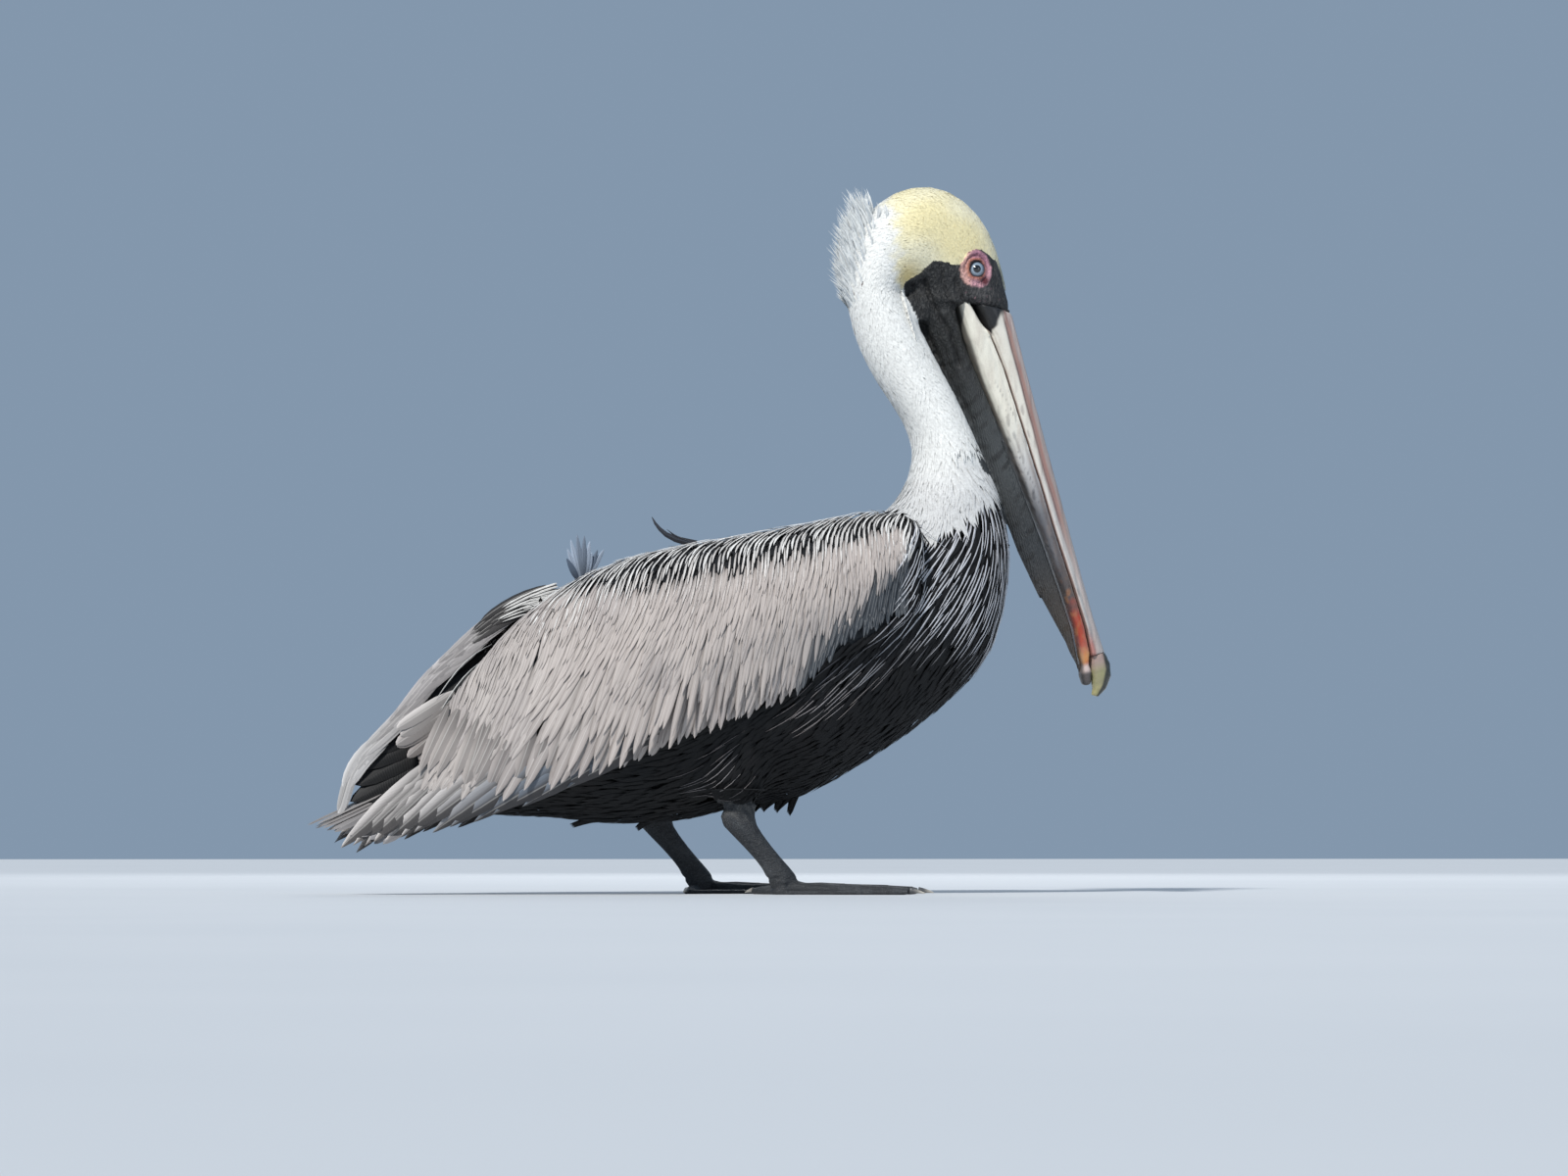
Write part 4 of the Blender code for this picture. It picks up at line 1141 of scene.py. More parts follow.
class Guide:
    """A surface that feathers lie along, with places picked on it."""

    def __init__(self, mesh):
        self.points = points_of(mesh)
        self.corners = triangles_of(mesh)
        self.tree = BVHTree.FromPolygons(self.points.tolist(), self.corners.tolist())
        a, b, c = (self.points[self.corners[:, i]] for i in range(3))
        cross = np.cross(b - a, c - a)
        self.area = np.linalg.norm(cross, axis=1) / 2
        self.centre = (a + b + c) / 3
        self.out = unit(cross)

    def scatter(self, zone, way, across, along, tries=3.0):
        """Roots where zone is above a random share, none closer than across and along
        the lie allow."""
        share = np.clip(zone(self.centre), 0, 1)
        wide, long = across(self.centre), along(self.centre)
        want = self.area * share / (wide * long) * tries
        count = rng.poisson(want)
        pick = np.repeat(np.arange(len(count)), count)
        a, b, c = (self.points[self.corners[pick, i]] for i in range(3))
        u, v = rng.random(len(pick)), rng.random(len(pick))
        flip = u + v > 1
        u, v = np.where(flip, 1 - u, u)[:, None], np.where(flip, 1 - v, v)[:, None]
        roots = a + (b - a) * u + (c - a) * v
        order = rng.permutation(len(roots))
        roots, out = roots[order], self.out[pick[order]]
        outer = out[:, 1] * np.sign(roots[:, 1]) > -0.10
        roots, out = roots[outer], out[outer]
        lie = turned(way(roots), out, np.zeros(len(roots)))
        return roots[thinned(roots, lie, out, across(roots), along(roots))]

    def trace(self, roots, way, lengths, turn, shares, stiff=0.35, under=-1.0):
        """Spines that run from the roots along the lie. Where the surface turns away
        sharply, or faces down more than under allows, a spine runs straight on."""
        spine = np.empty((len(roots), len(shares), 3))
        normal = np.empty_like(spine)
        on, out = nearest(self.tree, roots)
        spine[:, 0], normal[:, 0] = on, out
        course = turned(way(on), out, turn)
        for k in range(1, len(shares)):
            step = (shares[k] - shares[k - 1]) * lengths
            ahead = spine[:, k - 1] + course * step[:, None]
            on, out = nearest(self.tree, ahead)
            close = np.linalg.norm(on - ahead, axis=1) < 0.0022 + 0.12 * step
            same = (out * normal[:, k - 1]).sum(1) > 0.72
            stay = (close & same & (out[:, 2] > under))[:, None]
            spine[:, k] = np.where(stay, on, ahead)
            normal[:, k] = np.where(stay, out, normal[:, k - 1])
            bent = turned(way(spine[:, k]), normal[:, k], turn)
            course = np.where(stay, unit(course * stiff + bent * (1 - stiff)), course)
        return spine, smooth_along(normal)


def lies_close(guide, spine, limit):
    """Which spines end near the surface that they lie along."""
    on, _ = nearest(guide.tree, spine[:, -1])
    return np.linalg.norm(on - spine[:, -1], axis=1) < limit


def grown(guide, zone, way, across, along, lengths, sway, shares, limit, tries=3.0, stiff=0.35):
    """Feathers over a zone, without those that end away from the surface: their roots,
    spines and normals, and how many there are."""
    roots = guide.scatter(zone, way, across, along, tries)
    count = len(roots)
    length = spread(count, *lengths)
    spine, normal = guide.trace(roots, way, length, rng.normal(0, sway, count), shares, stiff)
    close = lies_close(guide, spine, limit)
    return roots[close], spine[close], normal[close], close.sum()


# ---- vanes and coats ---------------------------------------------------------------
NEEDLE = ((-1, 0), (0, 1), (1, 0))
BLADE = ((-1, 0), (-0.45, 0.75), (0, 1), (0.45, 0.75), (1, 0), (0, -0.5))
PATCH = 0.003  # a feather's patch on the coat's unwrap
MOST_TRIANGLES = 180000
RIM_ANGLE = math.radians(55)  # a vane's rim is sharper than this, its ridge is not
SMALL = (0.0, 0.5, 1.0)
SMALL_PROFILE = (0.55, 1.0, 0.0)
SLIM = (0.0, 0.35, 0.72, 1.0)
SLIM_PROFILE = (0.5, 0.95, 0.8, 0.0)
STREAK = (0.0, 0.3, 0.6, 0.85, 1.0)
STREAK_PROFILE = (0.5, 0.9, 1.0, 0.6, 0.0)
COVERT = (0.0, 0.22, 0.45, 0.66, 0.83, 0.94, 1.0)
COVERT_PROFILE = (0.45, 0.85, 1.0, 0.95, 0.74, 0.40, 0.0)
FLIGHT = (0.0, 0.12, 0.28, 0.45, 0.62, 0.78, 0.90, 0.97, 1.0)
FLIGHT_PROFILE = (0.30, 0.65, 0.92, 1.0, 1.0, 0.92, 0.70, 0.36, 0.0)
POINTED_PROFILE = (0.30, 0.65, 0.92, 1.0, 0.96, 0.74, 0.42, 0.16, 0.0)
TUFT_PROFILE = (0.40, 0.70, 0.95, 1.0, 0.88, 0.64, 0.40, 0.18, 0.0)
WISP_PROFILE = (1.0, 0.95, 0.82, 0.64, 0.48, 0.34, 0.20, 0.10, 0.0)


def vane_faces(steps, sides):
    """Triangles of one closed vane: rings, a tip point, and a cap at the root."""
    faces = []
    for k in range(steps - 2):
        for j in range(sides):
            a, b = k * sides + j, k * sides + (j + 1) % sides
            faces += [(a, b, b + sides), (a, b + sides, a + sides)]
    last, tip = (steps - 2) * sides, (steps - 1) * sides
    for j in range(sides):
        faces.append((last + j, last + (j + 1) % sides, tip))
    for j in range(1, sides - 1):
        faces.append((0, j + 1, j))
    return np.array(faces)


class Coat:
    """Feathers of one kind that share a material, gathered into one or more pieces."""

    def __init__(self, name, slot, material, unwrap, replaced=()):
        self.name, self.slot, self.material = name, slot, material
        self.unwrap, self.replaced = unwrap, replaced
        self.points, self.faces, self.tints, self.spots, self.lanes = [], [], [], [], []

    def add(self, spine, normal, shares, widths, profile, ring, thick, rise, tint, curl=0.0):
        """Closed vanes along the spines. tint gives colours from (along, across)."""
        count, steps, _ = spine.shape
        ring = np.array(ring, float)
        way = np.gradient(spine, axis=1)
        side = unit(np.cross(normal, unit(way)))
        half = (widths[:, None] / 2 * np.asarray(profile)[None])[..., None, None]
        across = ring[:, 0][None, None, :, None]
        up = ring[:, 1][None, None, :, None] * np.asarray(thick).reshape(-1, 1, 1, 1)
        up = up * np.clip(np.asarray(profile) * 1.5, 0, 1)[None, :, None, None]
        sag = curl * np.abs(across) ** 2 * half
        body = spine[:, :, None] + side[:, :, None] * (across * half)
        body = body + normal[:, :, None] * (rise[:, :, None, None] + up - sag)
        rings = body[:, :-1].reshape(count, -1, 3)
        tip = body[:, -1].mean(axis=1, keepdims=True)
        points = np.concatenate((rings, tip), axis=1)
        along = np.repeat(np.asarray(shares)[:-1], len(ring))
        along = np.broadcast_to(np.append(along, 1.0), points.shape[:2])
        lane = np.broadcast_to(np.append(np.tile(ring[:, 0], steps - 1), 0.0), points.shape[:2])
        self.points.append(points.reshape(-1, 3))
        self.faces.append((count, points.shape[1], vane_faces(steps, len(ring))))
        self.tints.append(tint(along, lane).reshape(-1, 3))
        spot = self.unwrap(spine[:, 0])
        local = np.stack((lane * 0.5, along - 0.5), -1)
        self.spots.append((spot, local))
        length = np.linalg.norm(np.diff(spine, axis=1), axis=2).sum(1)
        self.lanes.append(np.stack((lane, along * length[:, None]), -1).reshape(-1, 2))

    def finish(self):
        """Makes the coat's pieces, none of them too large."""
        spots = np.concatenate([spot for spot, _ in self.spots])
        low, high = spots.min(0), spots.max(0)
        groups, total = [[]], 0
        for i, (count, _, faces) in enumerate(self.faces):
            most = MOST_TRIANGLES // len(faces)
            for start in range(0, count, most):
                end = min(count, start + most)
                size = (end - start) * len(faces)
                if groups[-1] and total + size > MOST_TRIANGLES:
                    groups.append([])
                    total = 0
                groups[-1].append((i, start, end))
                total += size
        for number, group in enumerate(groups):
            name = self.name if len(groups) == 1 else f"{self.name}_{number + 1}"
            self.piece(name, group, low, high, self.replaced if number == 0 else ())

    def piece(self, name, group, low, high, replaced):
        points, faces, tints, uvs, lanes, start = [], [], [], [], [], 0
        for i, first, last in group:
            _, size, pattern = self.faces[i]
            rows = slice(first * size, last * size)
            points.append(self.points[i][rows])
            tints.append(self.tints[i][rows])
            lanes.append(self.lanes[i][rows])
            spot, local = self.spots[i]
            place = 0.01 + 0.98 * (spot[first:last] - low) / (high - low)
            uvs.append((place[:, None] + local[first:last] * PATCH).reshape(-1, 2))
            base = start + np.arange(last - first)[:, None, None] * size
            faces.append((base + pattern[None]).reshape(-1, 3))
            start += (last - first) * size
        mesh = new_mesh(name, np.concatenate(points), np.concatenate(faces))
        set_colours(mesh, "tint", np.concatenate(tints))
        lanes = np.concatenate(lanes)
        set_numbers(mesh, "across", lanes[:, 0])
        set_numbers(mesh, "reach", lanes[:, 1])
        put_map(mesh, np.concatenate(uvs))
        mesh.set_sharp_from_angle(angle=RIM_ANGLE)
        mesh.materials.append(self.material)
        link(bpy.data.objects.new(name, mesh), replaced, self.slot)


def body_unwrap(p):
    """Round the body's long axis, and along it."""
    x, y, z = p.T
    return np.stack((x, np.arctan2(y, z - 0.14)), 1)


def neck_unwrap(p):
    """Round the neck and head, and up along them."""
    x, y, z = p.T
    axis = np.interp(z, NECK_AXIS[::-1, 1], NECK_AXIS[::-1, 0])
    over = ramp(z, 0.42, 0.47)
    return np.stack((np.arctan2(y, axis + 0.01 + over * 0.02 - x), z + 0.25 * over * (x - axis)), 1)


def side_unwrap(p):
    """Each side of the body laid out flat, one above the other."""
    x, y, z = p.T
    return np.stack((x, np.where(y < 0, 0, 0.32) + z + 0.6 * np.abs(y)), 1)


def plain_tint(colour, dark=0.7, pale=1.0, value=0.08, edge=1.0):
    """Tints for feathers that are darker at the root and have their own small change."""
    own = rng.normal(0, value, len(colour))
    own = (1 + np.clip(own, -2.2 * value, 2.2 * value))[:, None, None]

    def tint(along, lane):
        share = dark + (pale - dark) * ramp(along, 0.0, 0.6)
        rim = 1 + (edge - 1) * np.abs(lane) ** 2
        return colour[:, None] * (share * rim)[..., None] * own
    return tint


def rise_of(count, shares, low, high, jitter):
    """Heights over the guide that grow from root to tip."""
    t = np.asarray(shares)[None]
    tips = high + rng.uniform(-jitter, jitter, (count, 1))
    return low + (tips - low) * t ** 0.8


def long_vanes(coat, spine, normal, widths, colour, lift, profile=FLIGHT_PROFILE, dark=0.55,
               inner=0.0):
    """Adds long feathers whose spines and normals are already laid out. One of their two
    vanes is the darker one, by its own colour and by painted shade under the next feather's
    edge: inner says by how much and, by its sign, which."""
    count = len(spine)
    own = rng.normal(0, 0.05, count)[:, None, None]

    def tint(along, lane):
        base = colour[:, None] * (1 + own)
        root_shade = dark + (1 - dark) * ramp(along, 0.1, 0.6)
        out = base * (root_shade * (1 + 0.14 * (np.abs(lane) - 0.5)))[..., None]
        out = mix(out, np.broadcast_to(colour[:, None] * 1.25, out.shape), 0.5 * ramp(along, 0.9, 1))
        # The vane's own darker colour together with painted shade where the next feather's edge
        # overlaps.
        dim = abs(inner) * ramp(lane * np.sign(inner), -0.7, -0.1)
        return mix(out, np.broadcast_to(DARK_VANE, out.shape), dim)
    coat.add(spine, normal, FLIGHT, widths, profile, BLADE, 0.0007, lift, tint, curl=0.12)


def straight(roots, tips, facing, sag):
    """Spines from roots to tips that sag a little, all facing one way or each its own."""
    t = np.array(FLIGHT)
    spine = roots[:, None] + (tips - roots)[:, None] * t[None, :, None]
    normal = facing_way(np.atleast_2d(facing)[:, None], spine)
    drop = np.broadcast_to(sag, len(roots))[:, None] * (t * t)[None]
    return spine - normal * drop[..., None], normal


def facing_way(way, spine):
    """The outward way at each point of the spines, when it is given and not traced."""
    return unit(np.broadcast_to(way, spine.shape).copy())


def laid(guide, roots, tips):
    """Spines from roots to tips, laid on the guide's outer side, with free ends."""
    t = np.array(FLIGHT)
    spine = roots[:, None] + (tips - roots)[:, None] * t[None, :, None]
    out_side = spine + np.sign(roots[:, 1])[:, None, None] * (0, 0.03, 0)
    on, out = nearest(guide.tree, out_side.reshape(-1, 3))
    spine[:, :, 1] = on.reshape(spine.shape)[:, :, 1]
    spine[:, -3:, 1] = spine[:, -3:-2, 1] + (spine[:, -3:-2, 1] - spine[:, -5:-4, 1]) * 0.5
    return spine, smooth_along(smooth_along(out.reshape(spine.shape)))


def on_path(path, marks, at):
    """Points along a path at the given marks."""
    return np.stack([np.interp(at, marks, path[:, i]) for i in range(3)], -1)


def path_points(path, share, side):
    """Points at the given shares along a path of (x, |y|, z)."""
    return on_path(np.array(path), np.linspace(0, 1, len(path)), share) * (1, side, 1)


# ---- head and neck feathers --------------------------------------------------------
CREST_COUNT = 900


def head_feather_zone(p):
    s, o = bill_frame(p)
    feathered = (face_edge(p) < 0.0007) | ((p[:, 2] < 0.418) & (p[:, 0] < 0.165))
    ahead = (s > -0.004) & (o > -0.035)
    on_pouch = (pouch_share(p) > 0.5) & (p[:, 2] < 0.420) & (throat_gap(p) > 0)
    free = feathered & ~ahead & ~on_pouch & ~throat_bare(p) & (neck_share(p) > 0.45)
    return free.astype(float)


def head_size(p):
    """1 on the neck, falling to 0 at the face."""
    near = np.clip(-face_edge(p) / 0.02, 0, 1)
    high = ramp(p[:, 2], 0.405, 0.430)
    return 1 - high * (1 - 0.35 * near)


def neck_feathers(coat, guide, zone):
    """Short, soft feathers over the zone, longer and looser lower down the neck."""
    def across(p):
        return 0.00060 + 0.00055 * head_size(p)

    def along(p):
        low = ramp(0.34 - p[:, 2], 0, 0.05)
        return 0.0009 + 0.0012 * head_size(p) + 0.0010 * low

    roots = guide.scatter(zone, neck_lie, across, along, 3.4)
    size = head_size(roots)
    low = ramp(0.36 - roots[:, 2], 0, 0.08)
    count = len(roots)
    length = (0.0034 + 0.0060 * size + 0.0060 * low) * spread(count, 0.8, 1.25)
    width = (0.0013 + 0.0014 * size + 0.0003 * low) * spread(count, 0.7, 1.2)
    turn = rng.normal(0, 0.10, count) + 0.30 * waves(roots, 0.024, 62) * size
    spine, normal = guide.trace(roots, neck_lie, length, turn, SMALL)
    lift = 0.0001 + 0.0002 * size + 0.0006 * low
    rise = rise_of(count, SMALL, -0.0007, -0.0002, 0.00015) + lift[:, None] * np.array(SMALL)[None]
    colour = neck_colour(roots)
    nape = (np.abs(roots[:, 0] - 0.101) < 0.009) & (np.abs(roots[:, 2] - 0.437) < 0.012)
    dark = nape & (waves(roots * (1, 1, 0.3), 0.0035, 61) > 1.15)
    colour[dark] = shade(104, 92, 88)
    coat.add(spine, normal, SMALL, width, SMALL_PROFILE, NEEDLE, 0.00015, rise,
             plain_tint(colour, 0.92, 1.0, 0.03))


def make_neck_coat(head, body):
    coat = Coat("neck_coat", "feather_white", feather_material("neck_feathers", 0.75, 0.2),
                neck_unwrap)

    def upper(p):
        return head_feather_zone(p) * (p[:, 2] > NECK_JOIN)

    def lower(p):
        return ((neck_share(p) > 0.45) & (p[:, 2] <= NECK_JOIN + 0.002)).astype(float)

    neck_feathers(coat, head, upper)
    neck_feathers(coat, body, lower)
    coat.finish()


def crest_paths(share):
    """Where the crest's wisps start on the head, and which way they point."""
    marks = (0, 0.3, 0.65, 1)
    x = np.interp(share, marks, (0.0965, 0.0970, 0.1040, 0.1185))
    z = np.interp(share, marks, (0.409, 0.436, 0.464, 0.488))
    return x, z, np.interp(share, marks, (112, 108, 103, 97))


def make_crest(guide):
    """Long loose wisps that sweep up the nape and stand off behind the crown."""
    share = rng.random(CREST_COUNT)
    inner = rng.random(CREST_COUNT) ** 1.5
    x, z, lie = crest_paths(share)
    side = rng.normal(0, 0.006, CREST_COUNT) * (1 + inner)
    start = np.stack((x + inner * 0.012, side, z + inner * 0.002), 1)
    start[:, 0] -= 0.02
    start[:, 1] *= 1.5
    roots, out = nearest(guide.tree, start)
    clump = waves(np.stack((share, side * 4, inner), 1), 0.08, 63)
    lie = np.radians(lie + rng.normal(0, 4, CREST_COUNT) + 6 * clump)
    way = unit(np.stack((np.cos(lie), side * 8, np.sin(lie)), 1))
    length = np.interp(share, (0, 0.3, 0.65, 0.88, 1), (0.019, 0.025, 0.026, 0.028, 0.017))
    away = np.minimum(np.abs(side) / 0.014, 1)
    length = length * spread(CREST_COUNT, 0.55, 1.08) * (1 - 0.35 * away)
    shares = np.array((0.0, 0.3, 0.65, 1.0))
    curve = np.stack((-np.sin(lie), np.zeros(CREST_COUNT), np.cos(lie)), 1)
    curve *= spread(CREST_COUNT, -0.05, 0.30)[:, None]
    spine = way[:, None] * shares[None, :, None] + curve[:, None] * (shares ** 2)[None, :, None]
    spine = roots[:, None] + spine * length[:, None, None]
    facing = unit(out + np.stack((np.zeros(CREST_COUNT), np.sign(side), np.zeros(CREST_COUNT)), 1))
    normal = unit(np.broadcast_to(facing[:, None], spine.shape))
    colour = mix(shade(240, 242, 240), shade(188, 194, 198), rng.random(CREST_COUNT) ** 1.6)
    coat = Coat("crest_coat", "feather_white", feather_material("crest_wisps", 0.7, 0.3),
                neck_unwrap, ("crest",))
    rise = np.zeros((CREST_COUNT, 4)) - 0.0010 * (1 - shares)[None]
    width = spread(CREST_COUNT, 0.0009, 0.0020)
    coat.add(spine, normal, shares, width, (0.8, 1.0, 0.6, 0.0), NEEDLE,
             0.0002, rise, plain_tint(colour, 0.9, 1.0, 0.04))
    coat.finish()


# ---- body feathers -----------------------------------------------------------------
# Locks that hang from the belly: where along x, length and lean.
BELLY_TUFTS = ((0.0640, 0.0160, 0.90), (0.0530, 0.0125, 0.85), (0.0430, 0.0105, 0.75),
               (0.0350, 0.0080, 0.80), (-0.0480, 0.0080, 0.70), (-0.0950, 0.0060, 0.50))


def body_zone(p):
    on_leg = (p[:, 2] < 0.047) | leg_column(p)
    return ((wing_zone(p) < 0.007) & (neck_share(p) < 0.5) & ~on_leg
            & (p[:, 0] > -0.19)).astype(float)


def streaks(p):
    """Where the dark body feathers are streaked with white."""
    x, y, z = p.T
    side = ramp(np.abs(y), 0.03, 0.06)
    breast = ramp(z, 0.160, 0.225) * ramp(x, 0.09, 0.13)
    slope = z - 0.146 - 0.55 * (x - 0.085)
    flank = 0.62 * bump(x, 0.085, 0.032) * bump(slope, 0.0, 0.016) * side
    thigh = 0.55 * bump(x, 0.002, 0.016) * bump(z, 0.088, 0.020) * side
    front = bump(x, 0.215, 0.03) * bump(z, 0.17, 0.05) * 0.35
    return np.clip(breast + flank + thigh + front - 0.06, 0, 1)


def belly_tufts(coat, guide):
    """Pointed locks of wet feathers that hang from the belly."""
    for x, length, lean in BELLY_TUFTS:
        count = 11
        share = np.linspace(-1, 1, count)
        under = np.stack((x + 0.010 + share * 0.006, 0.010 * np.cos(share * 5), 0 * share), 1)
        on, out = nearest(guide.tree, under)
        roots = on - out * 0.004
        tip = np.array((x - math.cos(lean) * length, 0.0, on[:, 2].mean() - math.sin(lean) * length))
        tips = tip + np.stack((share * 0.0020, share * 0.0010, np.abs(share) * 0.0030), 1)
        spine, normal = straight(roots, tips, (-0.4, -0.8, -0.4), 0.001 * share)
        coat.add(spine, normal, FLIGHT, spread(count, 0.0026, 0.0040), WISP_PROFILE, NEEDLE,
                 0.0004, np.zeros((count, len(FLIGHT))),
                 plain_tint(np.tile(BLACK, (count, 1)), 0.9, 1.0, 0.05))


def make_body_coat(guide):
    """Narrow black feathers over the breast, belly, flanks and thighs."""
    coat = Coat("body_coat", "feather_dark", feather_material("dark_feathers", 0.75, 0.0),
                body_unwrap)
    roots, spine, normal, count = grown(guide, body_zone, body_way, even(0.0021), even(0.0060),
                                        (0.016, 0.024), 0.08, SLIM, 0.0080)
    rise = rise_of(count, SLIM, -0.0028, -0.0008, 0.0003)
    coat.add(spine, normal, SLIM, spread(count, 0.0030, 0.0040), SLIM_PROFILE, NEEDLE, 0.0003,
             rise, plain_tint(body_colour(roots), 0.9, 1.05, 0.07))
    belly_tufts(coat, guide)
    coat.finish()


def make_streaks(guide):
    """White streaks over the dark feathers of the breast and flanks."""
    def streaked(p):
        return body_zone(p) * streaks(p)

    def across(p):
        return 0.0022 + 0.0012 * (1 - streaks(p))

    roots, spine, normal, count = grown(guide, streaked, body_way, across, even(0.0120),
                                        (0.022, 0.036), 0.05, STREAK, 0.0040, 3.5)
    rise = rise_of(count, STREAK, -0.0016, 0.0000, 0.0002)
    strength = ramp(streaks(roots), 0.0, 0.7)
    colour = mix(shade(78, 78, 82), shade(204, 204, 208), strength)
    low = ramp(0.165 - roots[:, 2], 0.0, 0.01)
    colour = mix(colour, shade(116, 108, 106), 0.7 * low)
    coat = Coat("streak_coat", "feather_dark", feather_material("pale_streaks", 0.6, 0.08),
                body_unwrap)
    width = (0.0007 + 0.0004 * strength) * spread(count, 0.75, 1.2) * (1 - 0.30 * low)
    coat.add(spine, normal, STREAK, width, STREAK_PROFILE, NEEDLE, 0.0002, rise,
             plain_tint(colour, 0.7, 1.0, 0.08))
    coat.finish()


# ---- the folded wing ---------------------------------------------------------------
def stripe_zone(p):
    """The striped band along the wing's upper edge and round its front one."""
    x, y, z = p.T
    deep = np.interp(x, (-0.14, -0.05, 0.05, 0.13), (0.022, 0.040, 0.037, 0.028))
    band = 1 - ramp(wing_drop(p) + 0.003 * waves(p, 0.02, 75), deep - 0.010, deep + 0.002)
    end = np.where(y < 0, *STRIPE_END)
    rear = ramp(x - end, -0.010, 0.010)
    front = np.where(x > 0.118, ramp(z, 0.242, 0.260), 1)
    return (wing_zone(p) > -0.003) * band * rear * front


def cover_zone(p):
    """The part of the wing that silver feathers cover."""
    x, y, z = p.T
    end = [np.interp(z, COVER_END_Z, COVER_END_X[side]) for side in (RIGHT, LEFT)]
    free = (wing_zone(p) > 0.0) & (x > np.where(y < 0, *end))
    start = [np.interp(x, marks, (-0.004, 0.004, 0.028, 0.027, 0.015)) for marks in COVER_START]
    return free * ramp(wing_drop(p) - np.where(y < 0, *start), -0.002, 0.007)


def cover_width(p):
    width = np.interp(wing_drop(p), (0.020, 0.040, 0.062, 0.12), (0.0022, 0.0027, 0.0037, 0.0052))
    rear = ramp(-p[:, 0], 0.03, 0.17)
    return width * (1 + 1.15 * rear * ramp(wing_drop(p), 0.01, 0.05))


def cover_length(p):
    length = np.interp(wing_drop(p), (0.014, 0.03, 0.06, 0.12), (0.026, 0.034, 0.044, 0.052))
    rear = ramp(-p[:, 0], 0.03, 0.15)
    front = 1 - 0.30 * ramp(p[:, 0], 0.09, 0.13)
    return length * (1 + 0.30 * rear) * front


def room(p, longest):
    """How far a feather can run down the wing before it passes the coverts' limit."""
    way = cover_way(p)
    reach = np.zeros(len(p))
    for share in np.linspace(0.1, 1.0, 10):
        ahead = p + way * (longest * share)[:, None]
        inside = ahead[:, 2] > np.interp(ahead[:, 0], TIPS_X, TIPS_Z) - 0.002
        reach = np.where(inside & (reach >= longest * (share - 0.11)), longest * share, reach)
    return reach


def make_wing_bases(guide):
    """The black bases that show between the stripes along the wing's upper edge."""
    def zone(p):
        return (wing_zone(p) > -0.003) * (wing_drop(p) < 0.044) * (p[:, 0] > -0.18)

    coat = Coat("wing_under_coat", "feather_dark", feather_material("black_bases", 0.6, 0.0),
                side_unwrap)
    _, spine, normal, count = grown(guide, zone, cover_way, even(0.0024), even(0.006),
                                    (0.014, 0.020), 0.08, SLIM, 0.0035)
    rise = rise_of(count, SLIM, -0.0032, -0.0016, 0.0002)
    coat.add(spine, normal, SLIM, spread(count, 0.0036, 0.0046), SLIM_PROFILE, NEEDLE, 0.0003,
             rise, plain_tint(np.tile(BROWN_BLACK, (count, 1)), 0.8, 1.1, 0.15))
    coat.finish()


def make_stripes(guide):
    """Pale stripes over the black bases, dimmer in the shade of the wing's front."""
    coat = Coat("wing_stripes", "feather_grey", feather_material("pale_stripes", 0.65, 0.1),
                side_unwrap)
    roots, spine, normal, count = grown(guide, stripe_zone, cover_way, even(0.0024), even(0.0110),
                                        (0.022, 0.029), 0.025, STREAK, 0.0035, 5.0, 0.2)
    rise = rise_of(count, STREAK, -0.0018, -0.0002, 0.0002)
    colour = mix(shade(196, 192, 188), shade(236, 234, 230), rng.random(count))
    deep = ramp(wing_drop(roots), 0.010, 0.030)
    colour = mix(colour, silver(roots) * 1.1, deep * 0.75)
    dim = ramp(roots[:, 0], 0.112, 0.124) * (1 - ramp(roots[:, 2], 0.236, 0.256))
    colour = mix(colour, shade(104, 114, 124), dim * 0.8)
    coat.add(spine, normal, STREAK, spread(count, 0.0012, 0.0016), STREAK_PROFILE, NEEDLE,
             0.0002, rise, plain_tint(colour, 0.6, 1.0, 0.06))
    coat.finish()


def covert_spines(guide):
    """The silver coverts' spines and normals, cut short where the lowest row ends."""
    def across(p):
        return cover_width(p) * (0.50 + 0.30 * loose(p))

    def along(p):
        return cover_length(p) * (0.23 + 0.07 * loose(p))

    roots = guide.scatter(cover_zone, cover_way, across, along, 4.0)
    longest = cover_length(roots)
    space = room(roots, longest)
    roots, longest, space = (v[space > 0.008] for v in (roots, longest, space))
    count = len(roots)
    length = np.minimum(longest * spread(count, 0.88, 1.12), space + spread(count, 0.001, 0.007))
    turn = rng.normal(0, 0.035, count) + 0.06 * waves(roots, 0.05, 72)
    spine, normal = guide.trace(roots, cover_way, length, turn, COVERT, stiff=0.6, under=-0.25)
    tips = spine[:, -1]
    high = tips[:, 2] > np.interp(tips[:, 0], TIPS_X, TIPS_Z) + 0.020
    close = lies_close(guide, spine, 0.005) | ~high
    close &= (unit(tips - spine[:, 0]) * cover_way(roots)).sum(1) > 0.75
    return roots[close], spine[close], normal[close]


